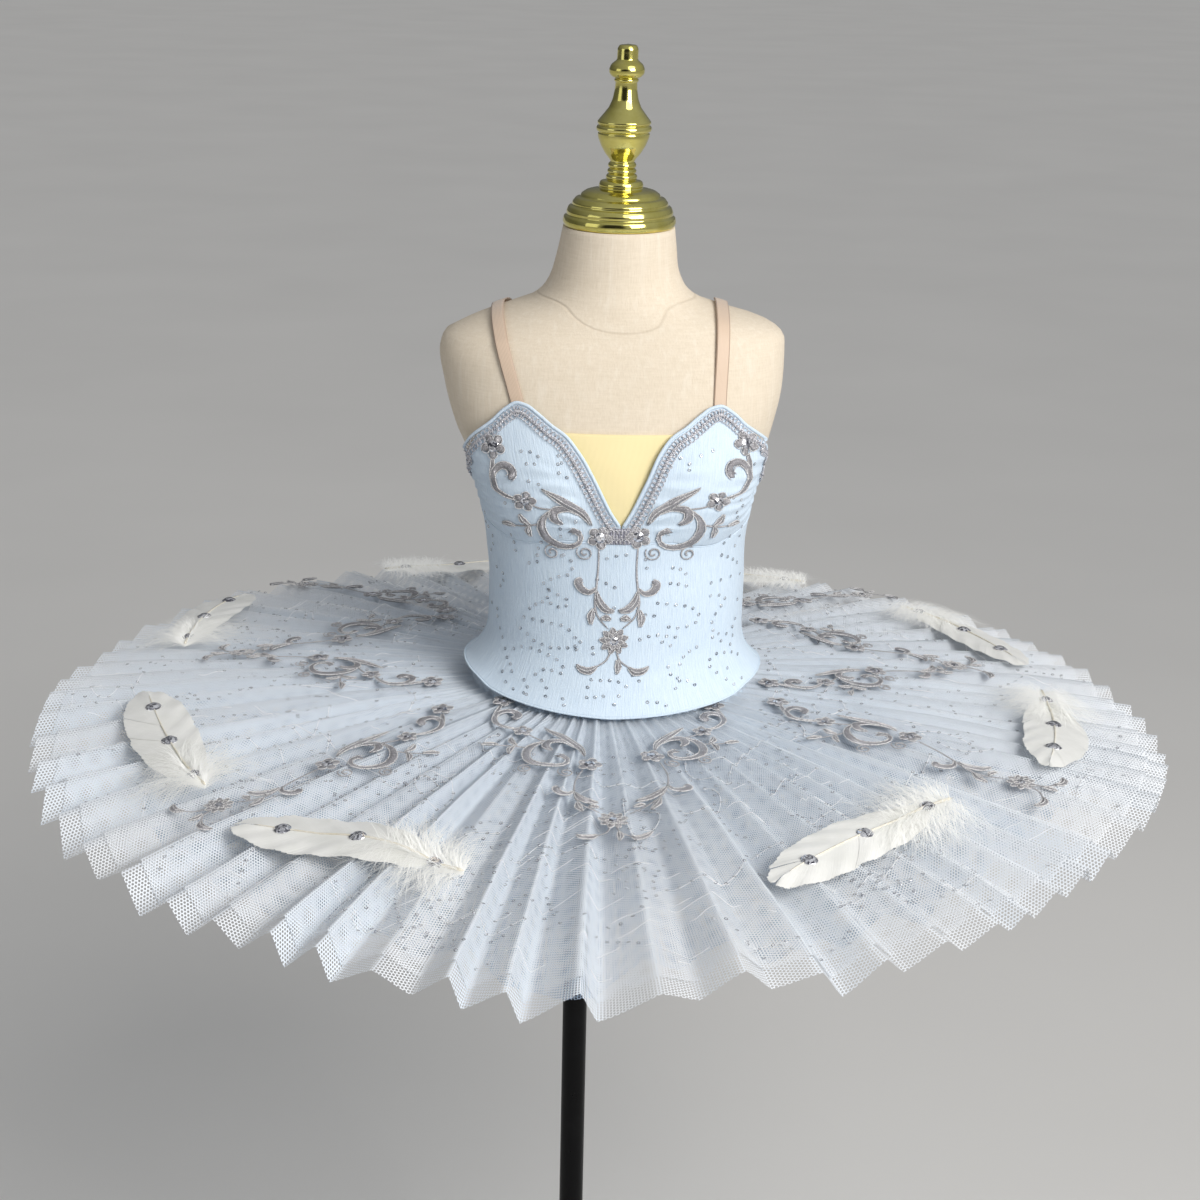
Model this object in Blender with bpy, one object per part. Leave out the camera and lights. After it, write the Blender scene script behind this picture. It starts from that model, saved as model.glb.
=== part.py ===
# Ballet tutu dress for a child on a limbless dress form with a pole and a round base.
# Metres, +Z up, the floor at z = 0, the front at -Y and the pole's axis at x = y = 0.
# An azimuth is measured round the torso or the skirt: 0 at the front, 90 degrees at +X.

import math

import bpy
import numpy as np
from mathutils import Vector
from mathutils.bvhtree import BVHTree
from mathutils.geometry import delaunay_2d_cdt

# Stand
BASE_RADIUS = 0.150
BASE_RIM_HEIGHT = 0.007
BASE_TOP = 0.014
HUB_RADIUS = 0.020
HUB_TOP = 0.040
POLE_RADIUS = 0.0105
SEAT_GAP = 0.0003

# Dress form
TORSO_X = 0.024
FORM_BOTTOM = 0.650
NECK_TOP = 1.144
FORM_COLUMNS = 28

# Bodice
CLOTH_INSIDE = 0.0025
CLOTH_WALL = 0.0014
SIDE_AZIMUTH = 90.0
SIDE_GAP = 0.0015
CUP_BULGE = 0.011
CUP_RISE = 0.098
CUP_START = 6.0
CUP_SPAN = 68.0
V_OFFSET = 0.0042
V_AZIMUTH = 2.0
V_GAP = 0.006
CUP_COLUMNS = 24
PANEL_COLUMNS = 16
FLARE_START = 0.835
FLARE_REACH = 0.0088
LIP_LIFT = 0.0022
PANEL_ROWS = 9
CUP_ROWS = 7
BINDING_WIDTH = 0.0026
TRIM_WIDTH = 0.0095
TRIM_LIFT = 0.0015
TRIM_WALL = 0.0010
UPRIGHT_FROM = math.radians(62.0)
INSERT_TOP = 0.9975
INSERT_BOTTOM = 0.922
INSERT_TUCK = 0.010
INSERT_LIFT = 0.0006
INSERT_WALL = 0.0010
STRAP_WIDTH = 0.0105
STRAP_WALL = 0.0010
STRAP_TUCK = 0.012
STRAP_SLACK = 0.0016
STRAP_ROWS = 29
SHOULDER_LOW = 1.050
SLACK_START = 1.030
STONE_LEVEL = 0.923
APPLIQUE_LIFT = 0.0030
VINE_LIFT = 0.0006
APPLIQUE_WALL = 0.0012

# Brief
BRIEF_TOP = 0.770
BRIEF_INSIDE = 0.0021
BRIEF_EASE = 0.0010
EASE_START = 0.735
BRIEF_WALL = 0.0012
GUSSET_AZIMUTHS = (-10.4, 0.0, 10.4, 21.5, 32.7)

# Skirt
SKIRT_X = 0.016
HEM_RADIUS = 0.457
SEAM_HEIGHT = 0.7705
SEAM_HALF_WIDTH = 0.1144
SEAM_HALF_DEPTH = 0.0920
UNDER_SEAM_EASE = 0.0041
NET_WALL = 0.0016
LAYER_STEP = 0.0024
OVERLAY_INSET = 0.016
PLEAT_DEPTH = 0.0100
UNDER_PLEAT_DEPTH = 0.0085
GATHER_DEPTH = 0.0018
USUAL_PITCH = 5.5
PLATE_RISE = 0.004
FEATHER_WALL = 0.0012
STONE_RADIUS = 0.0055
STONE_HEIGHT = 0.0030

# Rows of the form: height, half width, half depth, middle's offset in x and in y from the
# torso's axis, roundness of the section.
FORM_TABLE = np.array([
    (0.650, 0.0500, 0.0420, 0.0000, 0.000, 2.00),
    (0.652, 0.0580, 0.0480, 0.0000, 0.000, 2.00),
    (0.658, 0.0730, 0.0600, 0.0000, 0.000, 2.00),
    (0.672, 0.0920, 0.0750, 0.0000, 0.000, 2.00),
    (0.700, 0.1085, 0.0865, 0.0000, 0.000, 2.00),
    (0.730, 0.1145, 0.0905, 0.0000, 0.000, 2.00),
    (0.760, 0.1130, 0.0895, 0.0000, 0.000, 2.00),
    (0.790, 0.1050, 0.0860, 0.0010, 0.000, 2.00),
    (0.822, 0.0995, 0.0815, 0.0025, 0.000, 2.00),
    (0.860, 0.0994, 0.0800, 0.0030, 0.000, 2.00),
    (0.890, 0.1004, 0.0805, 0.0015, 0.000, 2.00),
    (0.920, 0.1045, 0.0820, 0.0010, -0.001, 2.05),
    (0.950, 0.1120, 0.0835, 0.0000, -0.001, 2.10),
    (0.965, 0.1172, 0.0830, -0.0005, -0.001, 2.15),
    (0.990, 0.1262, 0.0805, -0.0025, 0.000, 2.20),
    (1.021, 0.1335, 0.0750, -0.0035, 0.002, 2.25),
    (1.045, 0.1359, 0.0695, -0.0050, 0.003, 2.25),
    (1.058, 0.1342, 0.0655, -0.0035, 0.004, 2.20),
    (1.066, 0.1250, 0.0625, 0.0010, 0.005, 2.15),
    (1.073, 0.1110, 0.0600, 0.0025, 0.006, 2.10),
    (1.081, 0.0860, 0.0570, -0.0010, 0.006, 2.00),
    (1.088, 0.0660, 0.0545, -0.0025, 0.005, 2.00),
    (1.098, 0.0548, 0.0510, -0.0035, 0.004, 2.00),
    (1.112, 0.0488, 0.0475, -0.0035, 0.002, 2.00),
    (1.128, 0.0459, 0.0450, -0.0025, 0.000, 2.00),
    (1.144, 0.0433, 0.0433, -0.0018, -0.001, 2.00),
])

# Upper edge of the cups: distance from the bottom of the V across the front, height.
CUP_EDGE = np.array([
    (0.0000, 0.9265),
    (0.0072, 0.9390),
    (0.0135, 0.9522),
    (0.0200, 0.9660),
    (0.0280, 0.9815),
    (0.0380, 0.9947),
    (0.0490, 1.0022),
    (0.0595, 1.0105),
    (0.0680, 1.0162),
    (0.0750, 1.0178),
    (0.0840, 1.0128),
    (0.0950, 1.0012),
    (0.1045, 0.9910),
    (0.1110, 0.9800),
])

INSERT_EDGE = CUP_EDGE[:7]

# Heights by azimuth, in degrees: where the cups meet the panel, the ends of their upper
# edge, the back's top edge, and the basque's lower edge.
BUST_SEAM = np.array([
    (0.00, 0.9135),
    (22.50, 0.9125),
    (33.75, 0.9080),
    (45.00, 0.9065),
    (56.25, 0.9090),
    (90.00, 0.9200),
])
SIDE_EDGE = np.array([(70.0, 0.970), (80.0, 0.961), (90.0, 0.953)])
BACK_EDGE = np.array([(90.0, 0.953), (115.0, 0.941), (150.0, 0.933), (180.0, 0.931)])
BASQUE_EDGE = np.array([
    (0.0, 0.7772),
    (18.0, 0.7785),
    (34.0, 0.7800),
    (52.0, 0.7820),
    (64.0, 0.7860),
    (90.0, 0.7885),
    (135.0, 0.7850),
    (180.0, 0.7820),
])

# Edge of a leg opening: degrees beyond the gusset, height. It ends at the side.
LEG_EDGE = np.array([
    (2.5, 0.6521),
    (6.0, 0.6565),
    (12.0, 0.6680),
    (20.0, 0.6840),
    (31.0, 0.7020),
    (45.0, 0.7170),
    (62.0, 0.7290),
    (80.0, 0.7330),
])

# Places of a neck trim's corners: shares of the turn from the V to the side seam.
TRIM_SHARES = np.concatenate([
    (0.012, 0.05, 0.10, 0.155, 0.21, 0.27, 0.32, 0.36),
    (0.40, 0.46, 0.54, 0.63, 0.73, 0.83, 0.91, 0.995),
])

# Straps: x from the torso's middle at the cup's tip, at the shoulder and at the back.
STRAPS = {
    "strap_left": (-0.0700, -0.0950, -0.0600),
    "strap_right": (0.0810, 0.0810, 0.0600),
}

# Pleats along the front of the hem, from left to right: azimuth and height of each lower
# fold, azimuth and height of the upper fold after it. The others are spaced by a rule.
FRONT_PLEATS = np.array([
    (-57.7, 0.7128, -53.6, 0.7390),
    (-50.1, 0.7230, -46.3, 0.7400),
    (-43.2, 0.7153, -39.7, 0.7370),
    (-36.9, 0.7171, -34.0, 0.7368),
    (-31.0, 0.7225, -27.7, 0.7427),
    (-26.4, 0.7202, -23.3, 0.7416),
    (-22.1, 0.7172, -18.2, 0.7320),
    (-14.9, 0.7180, -11.7, 0.7357),
    (-10.7, 0.7131, -7.0, 0.7308),
    (-5.9, 0.7080, -1.1, 0.7328),
    (0.3, 0.7107, 5.3, 0.7313),
    (8.5, 0.7240, 12.1, 0.7450),
    (14.4, 0.7290, 18.6, 0.7390),
    (20.7, 0.7170, 24.4, 0.7400),
    (26.4, 0.7250, 30.3, 0.7421),
    (32.4, 0.7285, 35.8, 0.7441),
    (37.9, 0.7320, 39.6, 0.7460),
    (41.0, 0.7344, 43.6, 0.7520),
    (45.6, 0.7370, 48.0, 0.7550),
    (49.8, 0.7370, 52.2, 0.7570),
    (54.4, 0.7426, 58.8, 0.7610),
    (62.2, 0.7413, 65.8, 0.7600),
])
PLEATS = 66

# Middle height of the hem by azimuth.
HEM_LINE = np.array([
    (-180.0, 0.7200),
    (-155.0, 0.7265),
    (-140.0, 0.7280),
    (-121.0, 0.7370),
    (-106.0, 0.7340),
    (-95.0, 0.7410),
    (-85.0, 0.7460),
    (-75.0, 0.7410),
    (-57.0, 0.7265),
    (-40.0, 0.7265),
    (-28.0, 0.7315),
    (-10.0, 0.7225),
    (0.0, 0.7205),
    (12.0, 0.7350),
    (21.0, 0.7290),
    (35.0, 0.7370),
    (50.0, 0.7470),
    (62.0, 0.7510),
    (75.0, 0.7420),
    (90.0, 0.7300),
    (120.0, 0.7260),
    (140.0, 0.7240),
    (160.0, 0.7185),
])

# Lower layers of the skirt: number of pleats, radius of the hem, height of the seam, and
# how far the hem lies below the top layer.
UNDER_LAYERS = {
    "skirt_under_1": {"pleats": 40, "reach": 0.385, "seam_z": 0.7550, "edge_drop": 0.0290},
    "skirt_under_2": {"pleats": 28, "reach": 0.285, "seam_z": 0.7400, "edge_drop": 0.0450},
}

# The lower layers' longest fold: its azimuth and half width in degrees, and how much
# further out and lower it reaches.
LONG_FOLD = (-4.0, 4.0, 0.013, 0.016)

# Feathers: quill end and tip from the skirt's centre, and the shaft's bend to its left.
FEATHERS = {
    "feather_1": {"quill": (-0.090, -0.338), "tip": (-0.250, -0.272), "bend": -0.006},
    "feather_2": {"quill": (0.258, -0.232), "tip": (0.128, -0.337), "bend": -0.006},
    "feather_3": {"quill": (0.372, 0.030), "tip": (0.343, -0.158), "bend": 0.007},
    "feather_4": {"quill": (0.283, 0.262), "tip": (0.366, 0.114), "bend": 0.009},
    "feather_5": {"quill": (-0.290, -0.211), "tip": (-0.364, -0.056), "bend": 0.005},
    "feather_6": {"quill": (-0.362, 0.086), "tip": (-0.336, 0.236), "bend": 0.010},
    "feather_7": {"quill": (0.200, 0.350), "tip": (0.062, 0.408), "bend": 0.006},
    "feather_8": {"quill": (-0.215, 0.340), "tip": (-0.075, 0.400), "bend": -0.006},
}

# Half width of a feather along its length, down included: share of length, half width.
FEATHER_OUTLINE = np.array([
    (0.00, 0.006),
    (0.05, 0.026),
    (0.13, 0.037),
    (0.22, 0.030),
    (0.32, 0.034),
    (0.42, 0.024),
    (0.60, 0.025),
    (0.78, 0.022),
    (0.92, 0.014),
])
FEATHER_STONES = (0.14, 0.50, 0.84)

# Halves of the skirt's scroll motifs: stone flower, end flower and vine tip from the
# skirt's centre. A mirrored half turns its sprig to the other side.
MOTIFS = {
    "motif_1": [
        {"stone": (0.040, -0.167), "end": (0.090, -0.073), "tip": (0.011, -0.259), "mirrored": False},
        {"stone": (-0.007, -0.178), "end": (-0.077, -0.072), "tip": (0.011, -0.259), "mirrored": True},
    ],
    "motif_2": [
        {"stone": (-0.204, -0.180), "end": (-0.125, -0.086), "tip": (-0.276, -0.237), "mirrored": False},
    ],
    "motif_3": [
        {"stone": (-0.238, 0.030), "end": (-0.137, -0.033), "tip": (-0.307, 0.058), "mirrored": False},
        {"stone": (-0.225, 0.084), "end": (-0.140, 0.150), "tip": (-0.307, 0.058), "mirrored": True},
    ],
    "motif_4": [
        {"stone": (-0.216, 0.246), "end": (-0.142, 0.178), "tip": (-0.285, 0.298), "mirrored": True},
    ],
    "motif_5": [
        {"stone": (0.240, -0.126), "end": (0.142, -0.063), "tip": (0.314, -0.197), "mirrored": True},
    ],
    "motif_6": [
        {"stone": (0.232, 0.036), "end": (0.138, -0.020), "tip": (0.306, 0.078), "mirrored": True},
        {"stone": (0.222, 0.098), "end": (0.142, 0.166), "tip": (0.306, 0.078), "mirrored": False},
    ],
    "motif_7": [
        {"stone": (0.190, 0.262), "end": (0.108, 0.200), "tip": (0.252, 0.312), "mirrored": False},
    ],
    "motif_8": [
        {"stone": (-0.036, 0.182), "end": (-0.094, 0.104), "tip": (0.0, 0.266), "mirrored": False},
        {"stone": (0.036, 0.182), "end": (0.094, 0.104), "tip": (0.0, 0.266), "mirrored": True},
    ],
}

# The spray of a half motif, from its stone flower at (0, 0) to its end flower at (1, 0).
SPRAY_SCROLL = [(0.02, 0.02), (0.36, 0.07), (0.42, -0.17), (0.17, -0.22)]
SPRAY_SCROLL_HALF = [0.024, 0.034, 0.050, 0.026]
SPRAY_LEAF = [(0.16, 0.05), (0.30, 0.19), (0.54, 0.07)]
SPRAY_STEM = [(0.36, 0.05), (0.78, -0.17), (1.00, 0.00)]
SPRAY_STEM_HALF = [0.020, 0.026, 0.020]
SPRAY_SPRIG = [(0.42, -0.12), (0.54, -0.22), (0.68, -0.34), (0.57, -0.18)]
FLOWER_PETALS = 5
STONE_FLOWER = 0.075
SPRAY_FLOWER = (0.60, -0.08)

# The vine of a half motif, from its stone flower at (0, 0) to its tip flower at (1, 0).
VINE_STEM = [(0.04, 0.00), (0.56, 0.12), (1.00, 0.00)]
VINE_STEM_HALF = [0.020, 0.028, 0.020]
VINE_LEAF = [(0.50, 0.12), (0.44, 0.26), (0.50, 0.33), (0.58, 0.20)]
VINE_INNER_LEAF = [(0.52, 0.11), (0.76, -0.07), (0.70, 0.08)]
TIP_SIZE = 0.075
TIP_FLOWER = 0.13
TIP_LEAF = [(0.0, -0.05), (0.20, -0.26), (0.34, -0.24), (0.12, 0.02)]

# The neck cap's profile with its turned finial: radius, height above the neck.
CAP_PROFILE = [
    (0.0425, 0.0000),
    (0.0440, 0.0040),
    (0.0425, 0.0085),
    (0.0385, 0.0110),
    (0.0370, 0.0165),
    (0.0325, 0.0190),
    (0.0305, 0.0245),
    (0.0255, 0.0275),
    (0.0165, 0.0310),
    (0.0158, 0.0365),
    (0.0110, 0.0400),
    (0.0112, 0.0480),
    (0.0095, 0.0525),
    (0.0140, 0.0585),
    (0.0185, 0.0690),
    (0.0205, 0.0800),
    (0.0180, 0.0870),
    (0.0125, 0.0940),
    (0.0088, 0.1020),
    (0.0082, 0.1095),
    (0.0132, 0.1150),
    (0.0132, 0.1195),
    (0.0082, 0.1240),
    (0.0080, 0.1330),
    (0.0060, 0.1363),
    (0.0000, 0.1366),
]
CAP_COLUMNS = 16
CAP_PLACE = (TORSO_X - 0.0018, -0.001, NECK_TOP + SEAT_GAP)
CAP_LEAN = 0.027

PALE_BLUE = (0.560, 0.700, 0.860)
NET_BLUE = (0.600, 0.700, 0.800)
DEEP_BLUE = (0.430, 0.580, 0.760)
SILVER_GREY = (0.330, 0.310, 0.320)
LILAC_SILVER = (0.450, 0.450, 0.560)
INSERT_YELLOW = (0.930, 0.760, 0.400)
NUDE = (0.700, 0.530, 0.400)
LINEN = (0.720, 0.640, 0.540)
GOLD = (0.620, 0.520, 0.100)
BLACK = (0.010, 0.010, 0.011)
WHITE = (0.880, 0.870, 0.840)


def clear_scene():
    for item in list(bpy.data.objects):
        bpy.data.objects.remove(item)


def material(name, colour, roughness, metallic=0.0):
    made = bpy.data.materials.new(name)
    made.use_nodes = True
    shader = made.node_tree.nodes["Principled BSDF"]
    shader.inputs["Base Color"].default_value = (*colour, 1.0)
    shader.inputs["Roughness"].default_value = roughness
    shader.inputs["Metallic"].default_value = metallic
    return made


def signed_volume(points, faces):
    total = 0.0
    for face in faces:
        a = points[face[0]]
        for second, third in zip(face[1:-1], face[2:]):
            total += float(np.dot(a, np.cross(points[second], points[third])))
    return total / 6


def add_object(name, points, faces, finish, smooth_degrees=35.0):
    """One named object from points and faces, turned so that its faces point outwards."""
    points = np.asarray(points, float)
    if signed_volume(points, faces) < 0:
        faces = [face[::-1] for face in faces]
    mesh = bpy.data.meshes.new(name)
    mesh.from_pydata([tuple(p) for p in points], [], [tuple(int(i) for i in face) for face in faces])
    mesh.validate()
    mesh.shade_smooth()
    mesh.set_sharp_from_angle(angle=math.radians(smooth_degrees))
    mesh.materials.append(finish)
    made = bpy.data.objects.new(name, mesh)
    bpy.context.scene.collection.objects.link(made)
    return made


def grid_faces(rows, columns, wrap=False):
    """Quads of a grid whose points run row by row."""
    faces = []
    last = columns if wrap else columns - 1
    for row in range(rows - 1):
        for column in range(last):
            after = (column + 1) % columns
            low = row * columns
            high = low + columns
            faces.append((low + column, low + after, high + after, high + column))
    return faces


def zigzag_faces(rows, columns):
    """Triangles of a closed zigzag grid, split from each lower fold's inner end."""
    faces = []
    for row in range(rows - 1):
        for column in range(columns):
            low, after = row * columns + column, row * columns + (column + 1) % columns
            high, beyond = low + columns, after + columns
            if column % 2 == 0:
                faces += [(low, after, beyond), (low, beyond, high)]
            else:
                faces += [(low, after, high), (after, beyond, high)]
    return faces


def shell(name, inner, outer, faces, finish, smooth_degrees=35.0):
    """A closed wall between two skins that share their points' numbers and their border."""
    count = len(inner)
    points = np.vstack([inner, outer])
    sides = {}
    for face in faces:
        for start, end in zip(face, face[1:] + face[:1]):
            sides[(start, end)] = True
    closed = [tuple(i + count for i in face) for face in faces]
    closed += [tuple(face[::-1]) for face in faces]
    closed += [
        (start, end, end + count, start + count) for start, end in sides if (end, start) not in sides
    ]
    used = sorted({i for face in closed for i in face})
    renumber = {old: new for new, old in enumerate(used)}
    closed = [tuple(renumber[i] for i in face) for face in closed]
    return add_object(name, points[used], closed, finish, smooth_degrees)


def lathe(name, profile, columns, centre, finish, lean=0.0):
    """A turned solid: the profile starts off the axis at the bottom and ends on it at the top.

    A lean moves each ring sideways by a share of its height.
    """
    turns = np.radians(np.arange(columns) * 360.0 / columns)
    points = []
    for radius, height in profile[:-1]:
        for turn in turns:
            x = centre[0] + lean * height + radius * math.sin(turn)
            y = centre[1] - radius * math.cos(turn)
            points.append((x, y, centre[2] + height))
    rows = len(profile) - 1
    faces = grid_faces(rows, columns, wrap=True)
    top = len(points)
    points.append((centre[0] + lean * profile[-1][1], centre[1], centre[2] + profile[-1][1]))
    low = (rows - 1) * columns
    faces += [(low + i, low + (i + 1) % columns, top) for i in range(columns)]
    faces.append(tuple(range(columns))[::-1])
    return add_object(name, points, faces, finish, 40.0)


def form_row(z):
    """Half width, half depth, offsets in x and in y, and roundness of the form at a height."""
    return [np.interp(z, FORM_TABLE[:, 0], FORM_TABLE[:, i]) for i in range(1, 6)]


def form_skin(azimuth, z):
    """Points on the form: each section is a superellipse round the torso's axis."""
    half_width, half_depth, middle_x, middle_y, roundness = form_row(z)
    across, along = np.sin(azimuth), -np.cos(azimuth)
    x = TORSO_X + middle_x + half_width * np.sign(across) * np.abs(across) ** (2 / roundness)
    y = middle_y + half_depth * np.sign(along) * np.abs(along) ** (2 / roundness)
    return np.stack(np.broadcast_arrays(x, y, z), axis=-1)


def form_normal(azimuth, z):
    """The form's outward direction, from steps round it and up it."""
    turn, rise = 0.02, 0.004
    low, high = np.maximum(z - rise, FORM_BOTTOM), np.minimum(z + rise, NECK_TOP)
    around = form_skin(azimuth + turn, z) - form_skin(azimuth - turn, z)
    upward = form_skin(azimuth, high) - form_skin(azimuth, low)
    out = np.cross(around, upward)
    return out / np.linalg.norm(out, axis=-1, keepdims=True)


def off_form(azimuth, z, distance):
    """Points at a distance from the form's skin."""
    azimuth, z = np.broadcast_arrays(np.asarray(azimuth, float), np.asarray(z, float))
    return form_skin(azimuth, z) + form_normal(azimuth, z) * np.asarray(distance)[..., None]


def azimuth_at(x, z):
    """The front azimuth where the form is x from the middle of its row."""
    half_width, _, _, _, roundness = form_row(z)
    share = np.clip(np.abs(x) / half_width, 0.0, 1.0)
    return np.sign(x) * np.arcsin(share ** (roundness / 2))


def by_azimuth(table, azimuth):
    """A height from a table by the size of the azimuth."""
    degrees = np.degrees(np.abs((azimuth + np.pi) % (2 * np.pi) - np.pi))
    return np.interp(degrees, table[:, 0], table[:, 1])


def cup_edge_height(azimuth, side):
    """Height of a cup's upper edge at an azimuth, from the V to the side seam.

    The side is -1 for the left cup and 1 for the right one.
    """
    edge_azimuth = side * np.degrees(azimuth_at(V_OFFSET + side * CUP_EDGE[:, 0], CUP_EDGE[:, 1]))
    degrees = np.concatenate([edge_azimuth, SIDE_EDGE[:, 0]])
    heights = np.concatenate([CUP_EDGE[:, 1], SIDE_EDGE[:, 1]])
    return np.interp(side * np.degrees(azimuth), degrees, heights)


def bulge(azimuth, z):
    """How far the cups stand out: highest below the tips, none at the seams and the V."""
    turn = np.degrees(np.abs(azimuth))
    seam = by_azimuth(BUST_SEAM, azimuth)
    rise = np.clip((z - seam) / CUP_RISE, 0.0, 1.0)
    sideways = np.sin(np.pi * np.clip((turn - CUP_START) / CUP_SPAN, 0.0, 1.0)) ** 1.2
    return CUP_BULGE * sideways * np.sin(np.pi * rise ** 0.8) ** 1.2


def flare(azimuth, z):
    """How far the basque stands out from the hips towards its lower edge."""
    edge = by_azimuth(BASQUE_EDGE, azimuth)
    share = np.clip((FLARE_START - z) / (FLARE_START - edge), 0.0, 1.2)
    side = np.sin(azimuth) ** 2
    return FLARE_REACH * share ** 3 + LIP_LIFT * side * share ** 4


def bodice_skin(azimuth, z, depth):
    """Points of the bodice: depth 0 is the cloth's inside and 1 its outside."""
    azimuth, z = np.broadcast_arrays(np.asarray(azimuth, float), np.asarray(z, float))
    distance = CLOTH_INSIDE + CLOTH_WALL * depth + bulge(azimuth, z) + flare(azimuth, z)
    return off_form(azimuth, z, distance)


def above_bodice(azimuth, z, height):
    """Points at a height above the bodice's outside."""
    return bodice_skin(azimuth, z, 1.0 + height / CLOTH_WALL)


def panel(name, azimuths, low, high, rows, finish):
    """A bodice panel between two edges given by their heights at each azimuth."""
    share = np.linspace(0.0, 1.0, rows)[:, None]
    z = low[None, :] * (1 - share) + high[None, :] * share
    turned = np.broadcast_to(azimuths, z.shape)
    inner = bodice_skin(turned, z, 0.0).reshape(-1, 3)
    outer = bodice_skin(turned, z, 1.0).reshape(-1, 3)
    return shell(name, inner, outer, grid_faces(rows, len(azimuths)), finish)


def bodice_panels(finish):
    """The panel round the front and the back, which meet at the sides a hair apart."""
    front = np.radians(np.linspace(-SIDE_AZIMUTH, SIDE_AZIMUTH, PANEL_COLUMNS + 1))
    front[0] += SIDE_GAP
    front[-1] -= SIDE_GAP
    hem = by_azimuth(BASQUE_EDGE, front)
    panel("bodice_front", front, hem, by_azimuth(BUST_SEAM, front), PANEL_ROWS, finish)
    back = np.radians(np.linspace(SIDE_AZIMUTH, 360.0 - SIDE_AZIMUTH, 15))
    back[0] += SIDE_GAP
    back[-1] -= SIDE_GAP
    hem = by_azimuth(BASQUE_EDGE, back)
    panel("bodice_back", back, hem, by_azimuth(BACK_EDGE, back), PANEL_ROWS, finish)


def cups(finish):
    """Two cups above the bust seam, from the bottom of the V to the side seams."""
    columns = np.arange(CUP_COLUMNS + 1) * SIDE_AZIMUTH / CUP_COLUMNS
    for side, name in ((-1, "cup_left"), (1, "cup_right")):
        azimuths = np.radians(side * columns)
        azimuths[0] = np.radians(V_AZIMUTH) + side * V_GAP
        azimuths[-1] -= side * SIDE_GAP
        low = by_azimuth(BUST_SEAM, azimuths) + SEAT_GAP
        panel(name, azimuths, low, cup_edge_height(azimuths, side), CUP_ROWS, finish)


def edge_frame(azimuth, side):
    """A point of a cup's edge and the direction from it into the cup."""
    step = 0.01
    here, ahead, behind = [
        bodice_skin(turned, cup_edge_height(turned, side), 1.0)
        for turned in (azimuth, azimuth + step, azimuth - step)
    ]
    along = (ahead - behind) / np.linalg.norm(ahead - behind)
    into = np.cross(form_normal(azimuth, cup_edge_height(azimuth, side)), along)
    into *= np.sign(-into[2])
    return here, into / np.linalg.norm(into)


def neck_trims(finish):
    """A band inside the cups' upper edge, which leaves the binding free."""
    middle = np.radians(V_AZIMUTH)
    for side, name in ((-1, "neck_trim_left"), (1, "neck_trim_right")):
        turns = middle + (side * np.radians(SIDE_AZIMUTH) - middle) * TRIM_SHARES
        skins = ([], [])
        for turn in turns:
            here, into = edge_frame(turn, side)
            if turn == turns[0]:
                into = np.array((0.0, 0.0, -1.0))
            for width in (BINDING_WIDTH, BINDING_WIDTH + TRIM_WIDTH):
                z = here[2] + into[2] * width
                x = here[0] + into[0] * width - TORSO_X - form_row(z)[2]
                straight = abs(turn) > UPRIGHT_FROM or turn == turns[0]
                azimuth = turn if straight else azimuth_at(x, z)
                azimuth = side * max(side * azimuth, side * turns[0])
                for skin, height in zip(skins, (TRIM_LIFT, TRIM_LIFT + TRIM_WALL)):
                    skin.append(above_bodice(azimuth, z, height))
        shell(name, np.array(skins[0]), np.array(skins[1]), grid_faces(len(turns), 2), finish)


def modesty_insert(finish):
    """A flat piece behind the V, tucked under both cups."""
    heights = np.linspace(INSERT_BOTTOM, INSERT_TOP, 6)
    rows = []
    for z in heights:
        reach = np.interp(z, INSERT_EDGE[:, 1], INSERT_EDGE[:, 0]) + INSERT_TUCK
        rows.append(azimuth_at(V_OFFSET + np.linspace(-reach, reach, 9), z))
    azimuths = np.array(rows)
    z = np.broadcast_to(heights[:, None], azimuths.shape)
    inner = off_form(azimuths, z, INSERT_LIFT).reshape(-1, 3)
    outer = off_form(azimuths, z, INSERT_LIFT + INSERT_WALL).reshape(-1, 3)
    shell("modesty_insert", inner, outer, grid_faces(len(heights), 9), finish)


def strap_path(tip, shoulder, back):
    """A strap's middle on the form, from the cup's tip over the shoulder to the back.

    The form's outward direction at each point comes with it.
    """
    heights = FORM_TABLE[:, 0]
    upper = heights > SHOULDER_LOW
    widths = FORM_TABLE[upper, 1]
    crest = float(np.interp(abs(shoulder), widths[::-1], heights[upper][::-1]))
    top = CUP_EDGE[:, 1].max() - STRAP_TUCK
    low = float(by_azimuth(BACK_EDGE, np.pi)) - STRAP_TUCK
    points, normals = [], []
    rise = np.sin(np.linspace(0.0, np.pi / 2, 80))
    for share in rise:
        z = top + (crest - top) * share
        azimuth = azimuth_at(tip + (shoulder - tip) * share, z)
        points.append(form_skin(azimuth, z))
        normals.append(form_normal(azimuth, z))
    for share in rise[::-1][1:]:
        z = low + (crest - low) * share
        azimuth = np.pi - azimuth_at(back + (shoulder - back) * share ** 2, z)
        points.append(form_skin(azimuth, z))
        normals.append(form_normal(azimuth, z))
    points, normals = np.array(points), np.array(normals)
    length = np.concatenate([[0.0], np.cumsum(np.linalg.norm(np.diff(points, axis=0), axis=1))])
    wanted = np.linspace(0.0, length[-1], STRAP_ROWS)
    path = np.stack([np.interp(wanted, length, points[:, i]) for i in range(3)], axis=1)
    out = np.stack([np.interp(wanted, length, normals[:, i]) for i in range(3)], axis=1)
    return path, out / np.linalg.norm(out, axis=1)[:, None]


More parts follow.
